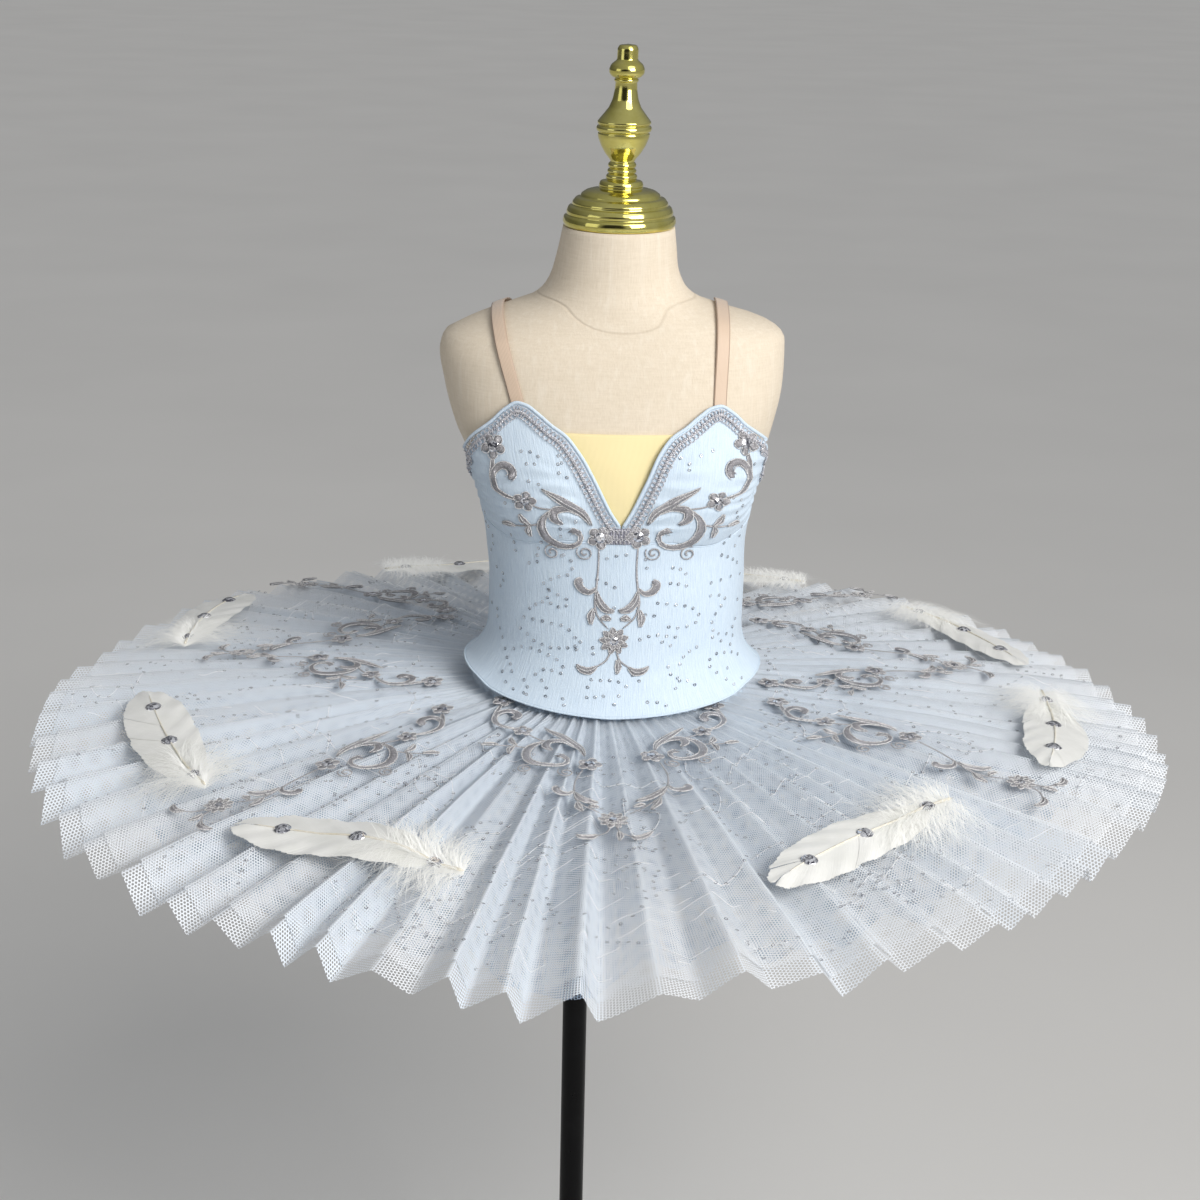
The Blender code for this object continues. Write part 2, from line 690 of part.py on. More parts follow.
def straps(finish):
    """Flat bands on the form, a little slack where they cross the shoulders."""
    for name, (tip, shoulder, back) in STRAPS.items():
        path, out = strap_path(tip, shoulder, back)
        along = np.gradient(path, axis=0)
        sideways = np.cross(along, out)
        sideways /= np.linalg.norm(sideways, axis=1)[:, None]
        slack = STRAP_SLACK * np.clip((path[:, 2] - SLACK_START) / 0.03, 0.0, 1.0)
        skins = []
        for height in (SEAT_GAP, SEAT_GAP + STRAP_WALL):
            lifted = path + out * (height + slack)[:, None]
            edges = (lifted - sideways * STRAP_WIDTH / 2, lifted + sideways * STRAP_WIDTH / 2)
            skins.append(np.stack(edges, axis=1).reshape(-1, 3))
        shell(name, skins[0], skins[1], grid_faces(len(path), 2), finish)


def dress_form(finish):
    """The limbless torso, flat at the bottom and at the neck."""
    turns = np.radians(np.arange(FORM_COLUMNS) * 360.0 / FORM_COLUMNS)
    heights = FORM_TABLE[:, 0]
    points = form_skin(turns[None, :], heights[:, None]).reshape(-1, 3)
    faces = grid_faces(len(heights), FORM_COLUMNS, wrap=True)
    faces.append(tuple(range(FORM_COLUMNS))[::-1])
    low = (len(heights) - 1) * FORM_COLUMNS
    faces.append(tuple(range(low, low + FORM_COLUMNS)))
    add_object("form_torso", points, faces, finish, 50.0)


def brief(finish):
    """A band round the hips with two leg openings, joined below the form by a gusset.

    The gusset passes beside the pole.
    """
    gusset = np.radians(GUSSET_AZIMUTHS)
    lines = len(gusset)
    beyond = np.radians(LEG_EDGE[:, 0])
    left_half = gusset[0] - beyond * (np.pi / 2 + gusset[0]) / beyond[-1]
    left = np.concatenate([left_half, -np.pi - left_half[-2::-1]])
    right_half = gusset[-1] + beyond * (np.pi / 2 - gusset[-1]) / beyond[-1]
    right = np.concatenate([right_half, np.pi - right_half[-2::-1]])
    azimuths = np.concatenate([gusset, right, np.pi - gusset[::-1], left[::-1]])
    steps = np.concatenate([[BRIEF_TOP], FORM_TABLE[5::-1, 0]])
    rows, columns = len(steps), len(azimuths)
    first_back = lines + len(right)
    edge = np.full(columns, FORM_BOTTOM)
    legs = np.concatenate([LEG_EDGE[:, 1], LEG_EDGE[-2::-1, 1]])
    edge[lines:first_back] = legs
    edge[first_back + lines:] = legs
    share = (BRIEF_TOP - edge[None, :]) / (BRIEF_TOP - FORM_BOTTOM)
    z = edge[None, :] + (steps[:, None] - FORM_BOTTOM) * share
    turned = np.broadcast_to(azimuths, z.shape)
    bottom = z <= FORM_BOTTOM + 1e-9
    ease = BRIEF_EASE * np.clip((EASE_START - z) / 0.03, 0.0, 1.0)
    skins = []
    for distance in (BRIEF_INSIDE, BRIEF_INSIDE + BRIEF_WALL):
        skin = off_form(turned, z, distance + ease)
        corner = form_skin(turned, z)
        away = (corner - (TORSO_X, 0.0, 0.0)) * (1.0, 1.0, 0.0)
        away /= np.linalg.norm(away, axis=-1, keepdims=True)
        corner = corner + (away - (0.0, 0.0, 1.0)) * distance
        skin[bottom] = corner[bottom]
        front = skin[-1, :lines]
        back = skin[-1, first_back:first_back + lines][::-1]
        under = [front + (back - front) * third for third in (0.34, 0.66)]
        skins.append(np.vstack([skin.reshape(-1, 3), np.vstack(under)]))
    last, added = (rows - 1) * columns, rows * columns
    joined = [
        [last + i for i in range(lines)],
        [added + i for i in range(lines)],
        [added + lines + i for i in range(lines)],
        [last + first_back + lines - 1 - i for i in range(lines)],
    ]
    faces = grid_faces(rows, columns, wrap=True)
    for near, far in zip(joined[:-1], joined[1:]):
        faces += [(near[i], near[i + 1], far[i + 1], far[i]) for i in range(lines - 1)]
    shell("brief", skins[0], skins[1], faces, finish)


def seam_radius(azimuth, half_width, half_depth):
    """Distance from the skirt's centre to an ellipse round the torso's axis."""
    offset = TORSO_X - SKIRT_X
    across, along = np.sin(azimuth) / half_width, np.cos(azimuth) / half_depth
    shift = offset / half_width
    square = across ** 2 + along ** 2
    middle = across * shift
    return (middle + np.sqrt(middle ** 2 - square * (shift ** 2 - 1))) / square


def hem_height(azimuth):
    """Middle height of the hem, which droops at the front and lifts at the sides."""
    return np.interp(np.degrees(azimuth), HEM_LINE[:, 0], HEM_LINE[:, 1], period=360.0)


def seam_height(azimuth):
    """Height of the top layer's seam, a little higher at the sides."""
    return SEAM_HEIGHT + 0.0030 * np.sin(azimuth) ** 2


def plate_height(azimuth, radius):
    """The top layer's middle height: a shallow cone with a slight dome."""
    inside = seam_radius(azimuth, SEAM_HALF_WIDTH, SEAM_HALF_DEPTH)
    share = (radius - inside) / (HEM_RADIUS - inside)
    dome = PLATE_RISE * np.sin(np.pi * np.clip(share, 0.0, 1.0))
    return seam_height(azimuth) * (1 - share) + hem_height(azimuth) * share + dome


def pleat_depth(radius):
    """Height of a fold above the layer's middle, shrinking to gathers at the seam."""
    share = np.clip((radius - SEAM_HALF_WIDTH) / (HEM_RADIUS - SEAM_HALF_WIDTH), 0.0, 1.05)
    return GATHER_DEPTH + (PLEAT_DEPTH - GATHER_DEPTH) * share


def folds():
    """Azimuths of the lower and upper folds in turn, and the shares of their depth.

    Past the front the pleats are a little uneven, and narrow ones are less deep.
    """
    front = len(FRONT_PLEATS)
    rest = PLEATS - front
    start, end = FRONT_PLEATS[-1, 0], FRONT_PLEATS[0, 0] + 360.0
    count = np.arange(rest + 1)
    spaces = 1.0 + 0.20 * np.sin(1.9 * count) + 0.12 * np.sin(4.3 * count)
    lower = start + (end - start) * np.cumsum(spaces)[:-1] / spaces.sum()
    after = np.append(lower[1:], end)
    upper = lower + (after - lower) * (0.60 + 0.09 * np.sin(2.3 * count[:-1]))
    deep = np.clip(0.55 + 0.45 * (after - lower) / USUAL_PITCH, 0.65, 1.05)
    azimuths, share = np.empty(2 * PLEATS), np.empty(2 * PLEATS)
    azimuths[0:2 * front:2], azimuths[1:2 * front:2] = FRONT_PLEATS[:, 0], FRONT_PLEATS[:, 2]
    azimuths[2 * front::2], azimuths[2 * front + 1::2] = lower, upper
    middle = hem_height(np.radians(FRONT_PLEATS[:, 0::2])) + LAYER_STEP
    offsets = (FRONT_PLEATS[:, 1::2] + LAYER_STEP - middle) / PLEAT_DEPTH
    share[0:2 * front] = offsets.reshape(-1)
    share[2 * front::2], share[2 * front + 1::2] = -deep, deep
    return np.radians(azimuths), share


def pleated(name, azimuths, heights, radii, finish):
    """A zigzag layer: rings of folds, joined along the folds, as a wall of even height."""
    skins = ([], [])
    for radius, height in zip(radii, heights):
        x = SKIRT_X + radius * np.sin(azimuths)
        y = -radius * np.cos(azimuths)
        for skin, side in zip(skins, (-0.5, 0.5)):
            skin.append(np.stack([x, y, height + side * NET_WALL], axis=1))
    inner, outer = np.vstack(skins[0]), np.vstack(skins[1])
    shell(name, inner, outer, zigzag_faces(len(radii), len(azimuths)), finish, 12.0)


def top_rings():
    """Azimuths of the top layers' folds with the radii and heights of the net's three rings.

    The heights are those of the overlay, which lies just above the net.
    """
    azimuths, fold = folds()
    uneven = 0.0035 * np.sin(3.1 * np.arange(2 * PLEATS)) + np.where(fold < 0, 0.003, 0.0)
    inside = seam_radius(azimuths, SEAM_HALF_WIDTH, SEAM_HALF_DEPTH)
    outside = HEM_RADIUS + uneven
    radii = [inside, inside + 0.3 * (outside - inside), outside]
    heights = [plate_height(azimuths, radius) + fold * pleat_depth(radius) for radius in radii]
    return azimuths, radii, heights


def top_layers(overlay_finish, net_finish):
    """The stiff net and the overlay, which follows its folds and ends inside its hem."""
    azimuths, radii, heights = top_rings()
    net = [height - LAYER_STEP for height in heights]
    pleated("skirt_net", azimuths, net, radii, net_finish)
    short = OVERLAY_INSET / (radii[2] - radii[1])
    radii[2] = radii[2] - OVERLAY_INSET
    heights[2] = heights[2] * (1 - short) + heights[1] * short
    pleated("skirt_overlay", azimuths, heights, radii, overlay_finish)


def under_layers(finish):
    """Two shorter layers of net below the top one, with their own pleats."""
    for number, (name, size) in enumerate(UNDER_LAYERS.items()):
        count = 2 * size["pleats"]
        steps = np.arange(count) + 0.18 * np.sin(2.7 * np.arange(count))
        azimuths = 2 * np.pi * (steps + 0.5 * number) / count
        fold = np.where(np.arange(count) % 2 == 0, -1.0, 1.0)
        half_width, half_depth = [half + UNDER_SEAM_EASE for half in form_row(size["seam_z"])[:2]]
        inside = seam_radius(azimuths, half_width, half_depth)
        middle, width, further, lower = LONG_FOLD
        turn = (np.degrees(azimuths) - middle + 180.0) % 360.0 - 180.0
        near = np.exp(-(turn / width) ** 2)
        outside = size["reach"] + 0.004 * np.sin(1.7 * np.arange(count)) + further * near
        radii = [inside, inside + 0.4 * (outside - inside), outside]
        edge = plate_height(azimuths, outside) - size["edge_drop"] - lower * near
        heights = []
        for radius in radii:
            share = (radius - inside) / (outside - inside)
            depth = GATHER_DEPTH + (UNDER_PLEAT_DEPTH - GATHER_DEPTH) * share
            heights.append(size["seam_z"] * (1 - share) + edge * share + fold * depth)
        pleated(name, azimuths, heights, radii, finish)


def over_skirt(points, height):
    """Points above the upper folds of the skirt, from places across its plane.

    Between two folds the height runs from one to the next, as cloth laid over them does.
    """
    x, y = points[:, 0], points[:, 1]
    azimuths, radii, heights = top_rings()
    radius, azimuth = np.hypot(x, y), np.arctan2(x, -y)
    ring_radii, ring_heights = [
        [np.interp(azimuth, azimuths[1::2], ring[1::2], period=2 * np.pi) for ring in rings]
        for rings in (radii, heights)
    ]
    top = np.where(
        radius < ring_radii[1],
        between(radius, ring_radii[0], ring_radii[1], ring_heights[0], ring_heights[1]),
        between(radius, ring_radii[1], ring_radii[2], ring_heights[1], ring_heights[2]),
    )
    return np.stack([SKIRT_X + x, y, top + NET_WALL / 2 + height], axis=1)


def between(value, low, high, at_low, at_high):
    """A quantity that runs evenly from one place to another."""
    return at_low + (at_high - at_low) * (value - low) / (high - low)


def fold_lines(step=0.0005):
    """Closely spaced points along the upper folds' tops."""
    azimuths, radii, heights = top_rings()
    lines = []
    for column in range(1, 2 * PLEATS, 2):
        corners = np.array([(ring[column], height[column]) for ring, height in zip(radii, heights)])
        along = np.arange(corners[0, 0], corners[2, 0], step)
        level = np.interp(along, corners[:, 0], corners[:, 1]) + NET_WALL / 2
        x = SKIRT_X + along * np.sin(azimuths[column])
        y = -along * np.cos(azimuths[column])
        lines.append(np.stack([x, y, level], axis=1))
    return np.vstack(lines)


def above_folds(points, faces):
    """Height of a plate's underside above the fold that it comes nearest to."""
    plate = BVHTree.FromPolygons([tuple(p) for p in points], faces)
    low, high = points.min(axis=0), points.max(axis=0)
    lines = fold_lines()
    near = np.all((lines[:, :2] >= low[:2]) & (lines[:, :2] <= high[:2]), axis=1)
    clear = []
    for point in lines[near]:
        hit = plate.ray_cast(Vector((point[0], point[1], low[2] - 1.0)), Vector((0.0, 0.0, 1.0)))
        if hit[0] is not None:
            clear.append(hit[0].z - point[2])
    return min(clear)


def over_front(points, height):
    """Points above the bodice's front, from places across it and up from its stones."""
    z = STONE_LEVEL + points[:, 1]
    azimuth = azimuth_at(points[:, 0], z)
    return above_bodice(azimuth, z, height)


def ribbon(points, half_widths):
    """Outline of a band along points, with a half width at each."""
    points = np.array(points, float)
    along = np.gradient(points, axis=0)
    along /= np.linalg.norm(along, axis=1)[:, None]
    side = np.stack([-along[:, 1], along[:, 0]], axis=1) * np.array(half_widths)[:, None]
    return np.vstack([points - side, (points + side)[::-1]])


def flower(centre, radius, turn=0.0):
    """A small flower's outline as the corners of its petals."""
    angles = turn + 2 * np.pi * np.arange(FLOWER_PETALS) / FLOWER_PETALS
    return np.array(centre) + radius * np.stack([np.cos(angles), np.sin(angles)], axis=1)


def laid_along(outline, start, end, mirrored):
    """An outline drawn from (0, 0) to (1, 0), laid from start to end."""
    start, end = np.array(start), np.array(end)
    along = end - start
    across = np.array((-along[1], along[0])) * (-1 if mirrored else 1)
    outline = np.asarray(outline, float)
    return start + outline[:, :1] * along + outline[:, 1:] * across


def spray_outlines(half):
    """The spray of half a motif: scroll, leaf, stem, sprig and three flowers."""
    start, end, mirrored = half["stone"], half["end"], half["mirrored"]
    drawn = [
        ribbon(SPRAY_SCROLL, SPRAY_SCROLL_HALF),
        SPRAY_LEAF,
        ribbon(SPRAY_STEM, SPRAY_STEM_HALF),
        SPRAY_SPRIG,
        flower((0.0, 0.0), STONE_FLOWER),
        flower(SPRAY_FLOWER, STONE_FLOWER, 0.4),
        flower((1.0, 0.0), STONE_FLOWER, 0.2),
    ]
    return [laid_along(outline, start, end, mirrored) for outline in drawn]


def vine_outlines(half, from_share=0.0):
    """The vine of half a motif: stem and two leaves."""
    start, end, mirrored = half["stone"], half["tip"], half["mirrored"]
    stem = [(max(u, from_share), v) for u, v in VINE_STEM]
    drawn = [ribbon(stem, VINE_STEM_HALF), VINE_LEAF, VINE_INNER_LEAF]
    return [laid_along(outline, start, end, mirrored) for outline in drawn]


def tip_outlines(centre, down, size):
    """The flower at a vine's tip with two leaves beyond it."""
    start = np.array(centre)
    end = start + np.array(down) * size
    found = [laid_along(flower((0.0, 0.0), TIP_FLOWER, 0.3), start, end, False)]
    found += [laid_along(TIP_LEAF, start, end, mirrored) for mirrored in (False, True)]
    return found


def covers(outline, point):
    """Whether an outline goes round a point."""
    x, y = outline[:, 0], outline[:, 1]
    after_x, after_y = np.roll(x, -1), np.roll(y, -1)
    crosses = (y > point[1]) != (after_y > point[1])
    rise = np.where(crosses, after_y - y, 1.0)
    return np.count_nonzero(crosses & (point[0] < x + (after_x - x) * (point[1] - y) / rise)) % 2 == 1


def covered(corners, faces, outlines):
    """The faces whose middle is in one of the outlines."""
    middles = [corners[list(face)].mean(axis=0) for face in faces]
    return [face for face, middle in zip(faces, middles) if any(covers(o, middle) for o in outlines)]


def border(faces):
    """Edges that have a face on one side only."""
    sides = {(face[i - 1], face[i]) for face in faces for i in range(len(face))}
    return [side for side in sides if side[::-1] not in sides]


def triangulated(points, edges):
    """Triangles over points, with the edges kept."""
    found = delaunay_2d_cdt([Vector((float(x), float(y))) for x, y in points], edges, [], 0, 1e-6)
    return np.array([(p.x, p.y) for p in found[0]]), [tuple(face) for face in found[2]]


def flat_union(outlines, extra=()):
    """Triangles of the area that the outlines cover together, with extra points inside it."""
    outlines = [np.asarray(outline, float) for outline in outlines]
    starts = np.cumsum([0] + [len(outline) for outline in outlines])
    edges = [
        (start + i, start + (i + 1) % len(outline))
        for start, outline in zip(starts, outlines)
        for i in range(len(outline))
    ]
    corners, faces = triangulated(np.vstack(outlines), edges)
    faces = covered(corners, faces, outlines)
    rim = border(faces)
    kept = sorted({i for side in rim for i in side})
    renumber = {old: new for new, old in enumerate(kept)}
    points = [tuple(corners[i]) for i in kept] + list(extra)
    corners, faces = triangulated(points, [(renumber[a], renumber[b]) for a, b in rim])
    return corners, covered(corners, faces, outlines)


def patch(name, outlines, place, low, wall, finish, raised=()):
    """A thin plate of the outlines' shape on a surface, with stones raised in its upper skin.

    With no height given, it rests on the skirt's folds.
    """
    rings = []
    for centre, radius, _ in raised:
        ring = flower(centre, radius)
        rings += [tuple(p) for p in ring] + [tuple(centre)]
    corners, faces = flat_union(outlines, rings)
    lift = np.zeros(len(corners))
    for centre, _, height in raised:
        near = np.linalg.norm(corners - np.array(centre), axis=1) < 1e-5
        lift[near] = height
    if low is None:
        low = SEAT_GAP - above_folds(place(corners, 0.0), faces)
    inner = place(corners, low)
    outer = place(corners, low + wall)
    outer[:, 2] += lift
    shell(name, inner, outer, faces, finish, 25.0)


def bodice_appliques(finish):
    """A spray over each cup and the vine of both down the front panel."""
    tip = (-0.001, -0.090)
    right = {"stone": (0.0170, -0.0037), "end": (0.0978, 0.0659), "tip": tip, "mirrored": False}
    left = {"stone": (-0.0119, -0.0050), "end": (-0.0877, 0.0615), "tip": tip, "mirrored": True}
    for name, half in (("applique_cup_right", right), ("applique_cup_left", left)):
        patch(name, spray_outlines(half), over_front, APPLIQUE_LIFT, APPLIQUE_WALL, finish)
    vine = vine_outlines(right, 0.13) + vine_outlines(left, 0.13)
    vine += tip_outlines(tip, (0.0, -1.0), TIP_SIZE)
    patch("applique_vine", vine, over_front, VINE_LIFT, APPLIQUE_WALL, finish)


def skirt_motifs(finish):
    """Each motif lies on the upper folds as one plate."""
    for name, halves in MOTIFS.items():
        outlines = []
        for half in halves:
            outlines += spray_outlines(half) + vine_outlines(half)
        tip = np.array(halves[0]["tip"])
        outlines += tip_outlines(tip, tip / np.linalg.norm(tip), TIP_SIZE)
        patch(name, outlines, over_skirt, None, APPLIQUE_WALL, finish)


def feather_frame(size, share):
    """Points of a feather's shaft and the direction across it."""
    quill, tip = np.array(size["quill"]), np.array(size["tip"])
    along = tip - quill
    across = np.array((-along[1], along[0])) / np.linalg.norm(along)
    share = np.asarray(share)[:, None]
    middle = quill + along * share + across * size["bend"] * 4 * share * (1 - share)
    return middle, across


def feathers(finish):
    """Each feather lies on the upper folds, with three stones along its shaft."""
    for name, size in FEATHERS.items():
        middle, across = feather_frame(size, FEATHER_OUTLINE[:, 0])
        side = across * FEATHER_OUTLINE[:, 1:]
        tip = np.array([size["tip"]])
        outline = np.vstack([middle - side, tip, (middle + side)[::-1]])
        stones, _ = feather_frame(size, FEATHER_STONES)
        raised = [(tuple(stone), STONE_RADIUS, STONE_HEIGHT) for stone in stones]
        patch(name, [outline], over_skirt, None, FEATHER_WALL, finish, raised)


def stand(finish):
    """A round base with a hub, and the pole up to the form."""
    base = [
        (BASE_RADIUS - 0.001, 0.0),
        (BASE_RADIUS, 0.001),
        (BASE_RADIUS, BASE_RIM_HEIGHT),
        (BASE_RADIUS - 0.003, BASE_RIM_HEIGHT + 0.002),
        (HUB_RADIUS + 0.004, BASE_TOP),
        (HUB_RADIUS, BASE_TOP + 0.003),
        (HUB_RADIUS, HUB_TOP - 0.002),
        (HUB_RADIUS - 0.002, HUB_TOP),
        (0.0, HUB_TOP),
    ]
    lathe("stand_base", base, 28, (0.0, 0.0, 0.0), finish)
    bottom = HUB_TOP + SEAT_GAP
    length = FORM_BOTTOM - SEAT_GAP - bottom
    pole = [(POLE_RADIUS, 0.0), (POLE_RADIUS, length), (0.0, length)]
    lathe("stand_pole", pole, 20, (0.0, 0.0, bottom), finish)


def main():
    clear_scene()
    cloth = material("bodice_cloth", PALE_BLUE, 0.75)
    silver = material("silver_embroidery", SILVER_GREY, 0.45, 0.3)
    black = material("black_stand", BLACK, 0.35)
    stand(black)
    dress_form(material("linen", LINEN, 0.9))
    gold = material("gold_cap", GOLD, 0.12, 1.0)
    lathe("form_neck_cap", CAP_PROFILE, CAP_COLUMNS, CAP_PLACE, gold, CAP_LEAN)
    modesty_insert(material("insert_jersey", INSERT_YELLOW, 0.7))
    bodice_panels(cloth)
    cups(cloth)
    neck_trims(material("braid", LILAC_SILVER, 0.4, 0.4))
    straps(material("elastic", NUDE, 0.5))
    brief(material("brief_jersey", PALE_BLUE, 0.75))
    top_layers(material("overlay_tulle", NET_BLUE, 0.6), material("net", NET_BLUE, 0.6))
    under_layers(material("under_net", DEEP_BLUE, 0.65))
    bodice_appliques(silver)
    skirt_motifs(silver)
    feathers(material("feather", WHITE, 0.7))


main()
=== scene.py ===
# Looks of a child's ballet tutu on a dress form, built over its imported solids.
# Metres, +Z up, the front at -Y. An azimuth is measured round the torso or the skirt:
# 0 at the front, 90 degrees at +X.

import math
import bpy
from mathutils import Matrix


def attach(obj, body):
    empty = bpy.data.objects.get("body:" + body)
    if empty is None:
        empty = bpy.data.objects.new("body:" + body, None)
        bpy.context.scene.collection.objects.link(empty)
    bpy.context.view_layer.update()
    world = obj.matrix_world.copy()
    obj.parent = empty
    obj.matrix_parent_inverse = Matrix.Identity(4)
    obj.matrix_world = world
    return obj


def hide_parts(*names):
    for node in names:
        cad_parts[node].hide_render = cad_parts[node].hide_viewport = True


bl_info = {
    "name": "Ballet tutu on a dress form",
    "version": (1, 0, 0),
    "blender": (4, 5, 0),
    "location": "3D View > Sidebar > Tutu",
    "description": "Builds the looks of a child's tutu and its dress form over the packed solids",
    "category": "Object",
}

import bpy
import numpy as np
from mathutils import Matrix, Vector

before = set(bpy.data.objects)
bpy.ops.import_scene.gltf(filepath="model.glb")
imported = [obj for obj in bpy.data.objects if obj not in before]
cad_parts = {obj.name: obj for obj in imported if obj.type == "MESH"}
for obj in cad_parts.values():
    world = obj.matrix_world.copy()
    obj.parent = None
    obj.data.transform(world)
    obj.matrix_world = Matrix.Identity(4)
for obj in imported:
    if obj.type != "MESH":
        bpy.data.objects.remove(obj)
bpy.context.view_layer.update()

# Tenths of a millimetre in a metre, which the tables of fine drawings are given in
TENTHS = 1e4

# Sizes shared with the solids
TORSO_X = 0.024
FORM_BOTTOM = 0.650
NECK_TOP = 1.144
BASE_RADIUS = 0.150
POLE_RADIUS = 0.0105
HUB_TOP = 0.040
CLOTH_INSIDE = 0.0025
CLOTH_WALL = 0.0014
SIDE_AZIMUTH = 90.0
CUP_BULGE = 0.011
CUP_RISE = 0.098
CUP_START = 6.0
CUP_SPAN = 68.0
V_OFFSET = 0.0042
V_AZIMUTH = 2.0
FLARE_START = 0.835
FLARE_REACH = 0.0088
LIP_LIFT = 0.0022
INSERT_TOP = 0.9975
INSERT_BOTTOM = 0.922
INSERT_TUCK = 0.010
STRAP_WIDTH = 0.0105
STRAP_TUCK = 0.012
SHOULDER_LOW = 1.050
STONE_LEVEL = 0.923
BRIEF_TOP = 0.786
SKIRT_X = 0.016
HEM_RADIUS = 0.457
SEAM_HEIGHT = 0.7705
HEADER_TOP = 0.7850
BASQUE_SAG = 0.0022
SEAM_HALF_WIDTH = 0.1144
SEAM_HALF_DEPTH = 0.0920
UNDER_SEAM_EASE = 0.0041
LAYER_STEP = 0.0024
OVERLAY_INSET = 0.016
PLEAT_DEPTH = 0.0100
UNDER_PLEAT_DEPTH = 0.0085
GATHER_DEPTH = 0.0018
USUAL_PITCH = 5.5
PLATE_RISE = 0.004
PLEATS = 66
NET_LEVEL = 0.0024

# Rows of the form: height, half width, half depth, middle's offset in x and in y from the
# torso's axis, roundness of the section.
FORM_TABLE = np.array([
    (0.650, 0.0500, 0.0420, 0.0000, 0.000, 2.00),
    (0.652, 0.0580, 0.0480, 0.0000, 0.000, 2.00),
    (0.658, 0.0730, 0.0600, 0.0000, 0.000, 2.00),
    (0.672, 0.0920, 0.0750, 0.0000, 0.000, 2.00),
    (0.700, 0.1085, 0.0865, 0.0000, 0.000, 2.00),
    (0.730, 0.1145, 0.0905, 0.0000, 0.000, 2.00),
    (0.760, 0.1130, 0.0895, 0.0000, 0.000, 2.00),
    (0.790, 0.1050, 0.0860, 0.0010, 0.000, 2.00),
    (0.822, 0.0995, 0.0815, 0.0025, 0.000, 2.00),
    (0.860, 0.0994, 0.0800, 0.0030, 0.000, 2.00),
    (0.890, 0.1004, 0.0805, 0.0015, 0.000, 2.00),
    (0.920, 0.1045, 0.0820, 0.0010, -0.001, 2.05),
    (0.950, 0.1120, 0.0835, 0.0000, -0.001, 2.10),
    (0.965, 0.1172, 0.0830, -0.0005, -0.001, 2.15),
    (0.990, 0.1262, 0.0805, -0.0025, 0.000, 2.20),
    (1.021, 0.1335, 0.0750, -0.0035, 0.002, 2.25),
    (1.045, 0.1359, 0.0695, -0.0050, 0.003, 2.25),
    (1.058, 0.1342, 0.0655, -0.0035, 0.004, 2.20),
    (1.066, 0.1250, 0.0625, 0.0010, 0.005, 2.15),
    (1.073, 0.1110, 0.0600, 0.0025, 0.006, 2.10),
    (1.081, 0.0860, 0.0570, -0.0010, 0.006, 2.00),
    (1.088, 0.0660, 0.0545, -0.0025, 0.005, 2.00),
    (1.098, 0.0548, 0.0510, -0.0035, 0.004, 2.00),
    (1.112, 0.0488, 0.0475, -0.0035, 0.002, 2.00),
    (1.128, 0.0459, 0.0450, -0.0025, 0.000, 2.00),
    (1.144, 0.0433, 0.0433, -0.0018, -0.001, 2.00),
])

# Upper edge of the cups: distance from the bottom of the V across the front, height.
CUP_EDGE = np.array([
    (0.0000, 0.9265), (0.0072, 0.9390), (0.0135, 0.9522), (0.0200, 0.9660), (0.0280, 0.9815),
    (0.0380, 0.9947), (0.0490, 1.0022), (0.0595, 1.0105), (0.0680, 1.0162), (0.0750, 1.0178),
    (0.0840, 1.0128), (0.0950, 1.0012), (0.1045, 0.9910), (0.1110, 0.9800),
])

INSERT_EDGE = CUP_EDGE[:7]

# Heights by azimuth, in degrees: where the cups meet the panel, the ends of their upper
# edge, the back's top edge, and the basque's lower edge.
BUST_SEAM = np.array([
    (0.00, 0.9135), (22.50, 0.9125), (33.75, 0.9080), (45.00, 0.9065), (56.25, 0.9090),
    (90.00, 0.9200),
])
SIDE_EDGE = np.array([(70.0, 0.970), (80.0, 0.961), (90.0, 0.953)])
BACK_EDGE = np.array([(90.0, 0.953), (115.0, 0.941), (150.0, 0.933), (180.0, 0.931)])
BASQUE_EDGE = np.array([
    (0.0, 0.7772), (18.0, 0.7785), (34.0, 0.7800), (52.0, 0.7820), (64.0, 0.7860), (90.0, 0.7885),
    (135.0, 0.7850), (180.0, 0.7820),
])

# Edge of a leg opening: degrees beyond the gusset, height. It ends at the side.
LEG_EDGE = np.array([
    (2.5, 0.6521), (6.0, 0.6565), (12.0, 0.6680), (20.0, 0.6840), (31.0, 0.7020), (45.0, 0.7170),
    (62.0, 0.7290), (80.0, 0.7330),
])

# Straps: x from the torso's middle at the cup's tip, at the shoulder and at the back.
STRAPS = {
    "strap_left": (-0.0700, -0.0950, -0.0600),
    "strap_right": (0.0810, 0.0810, 0.0600),
}

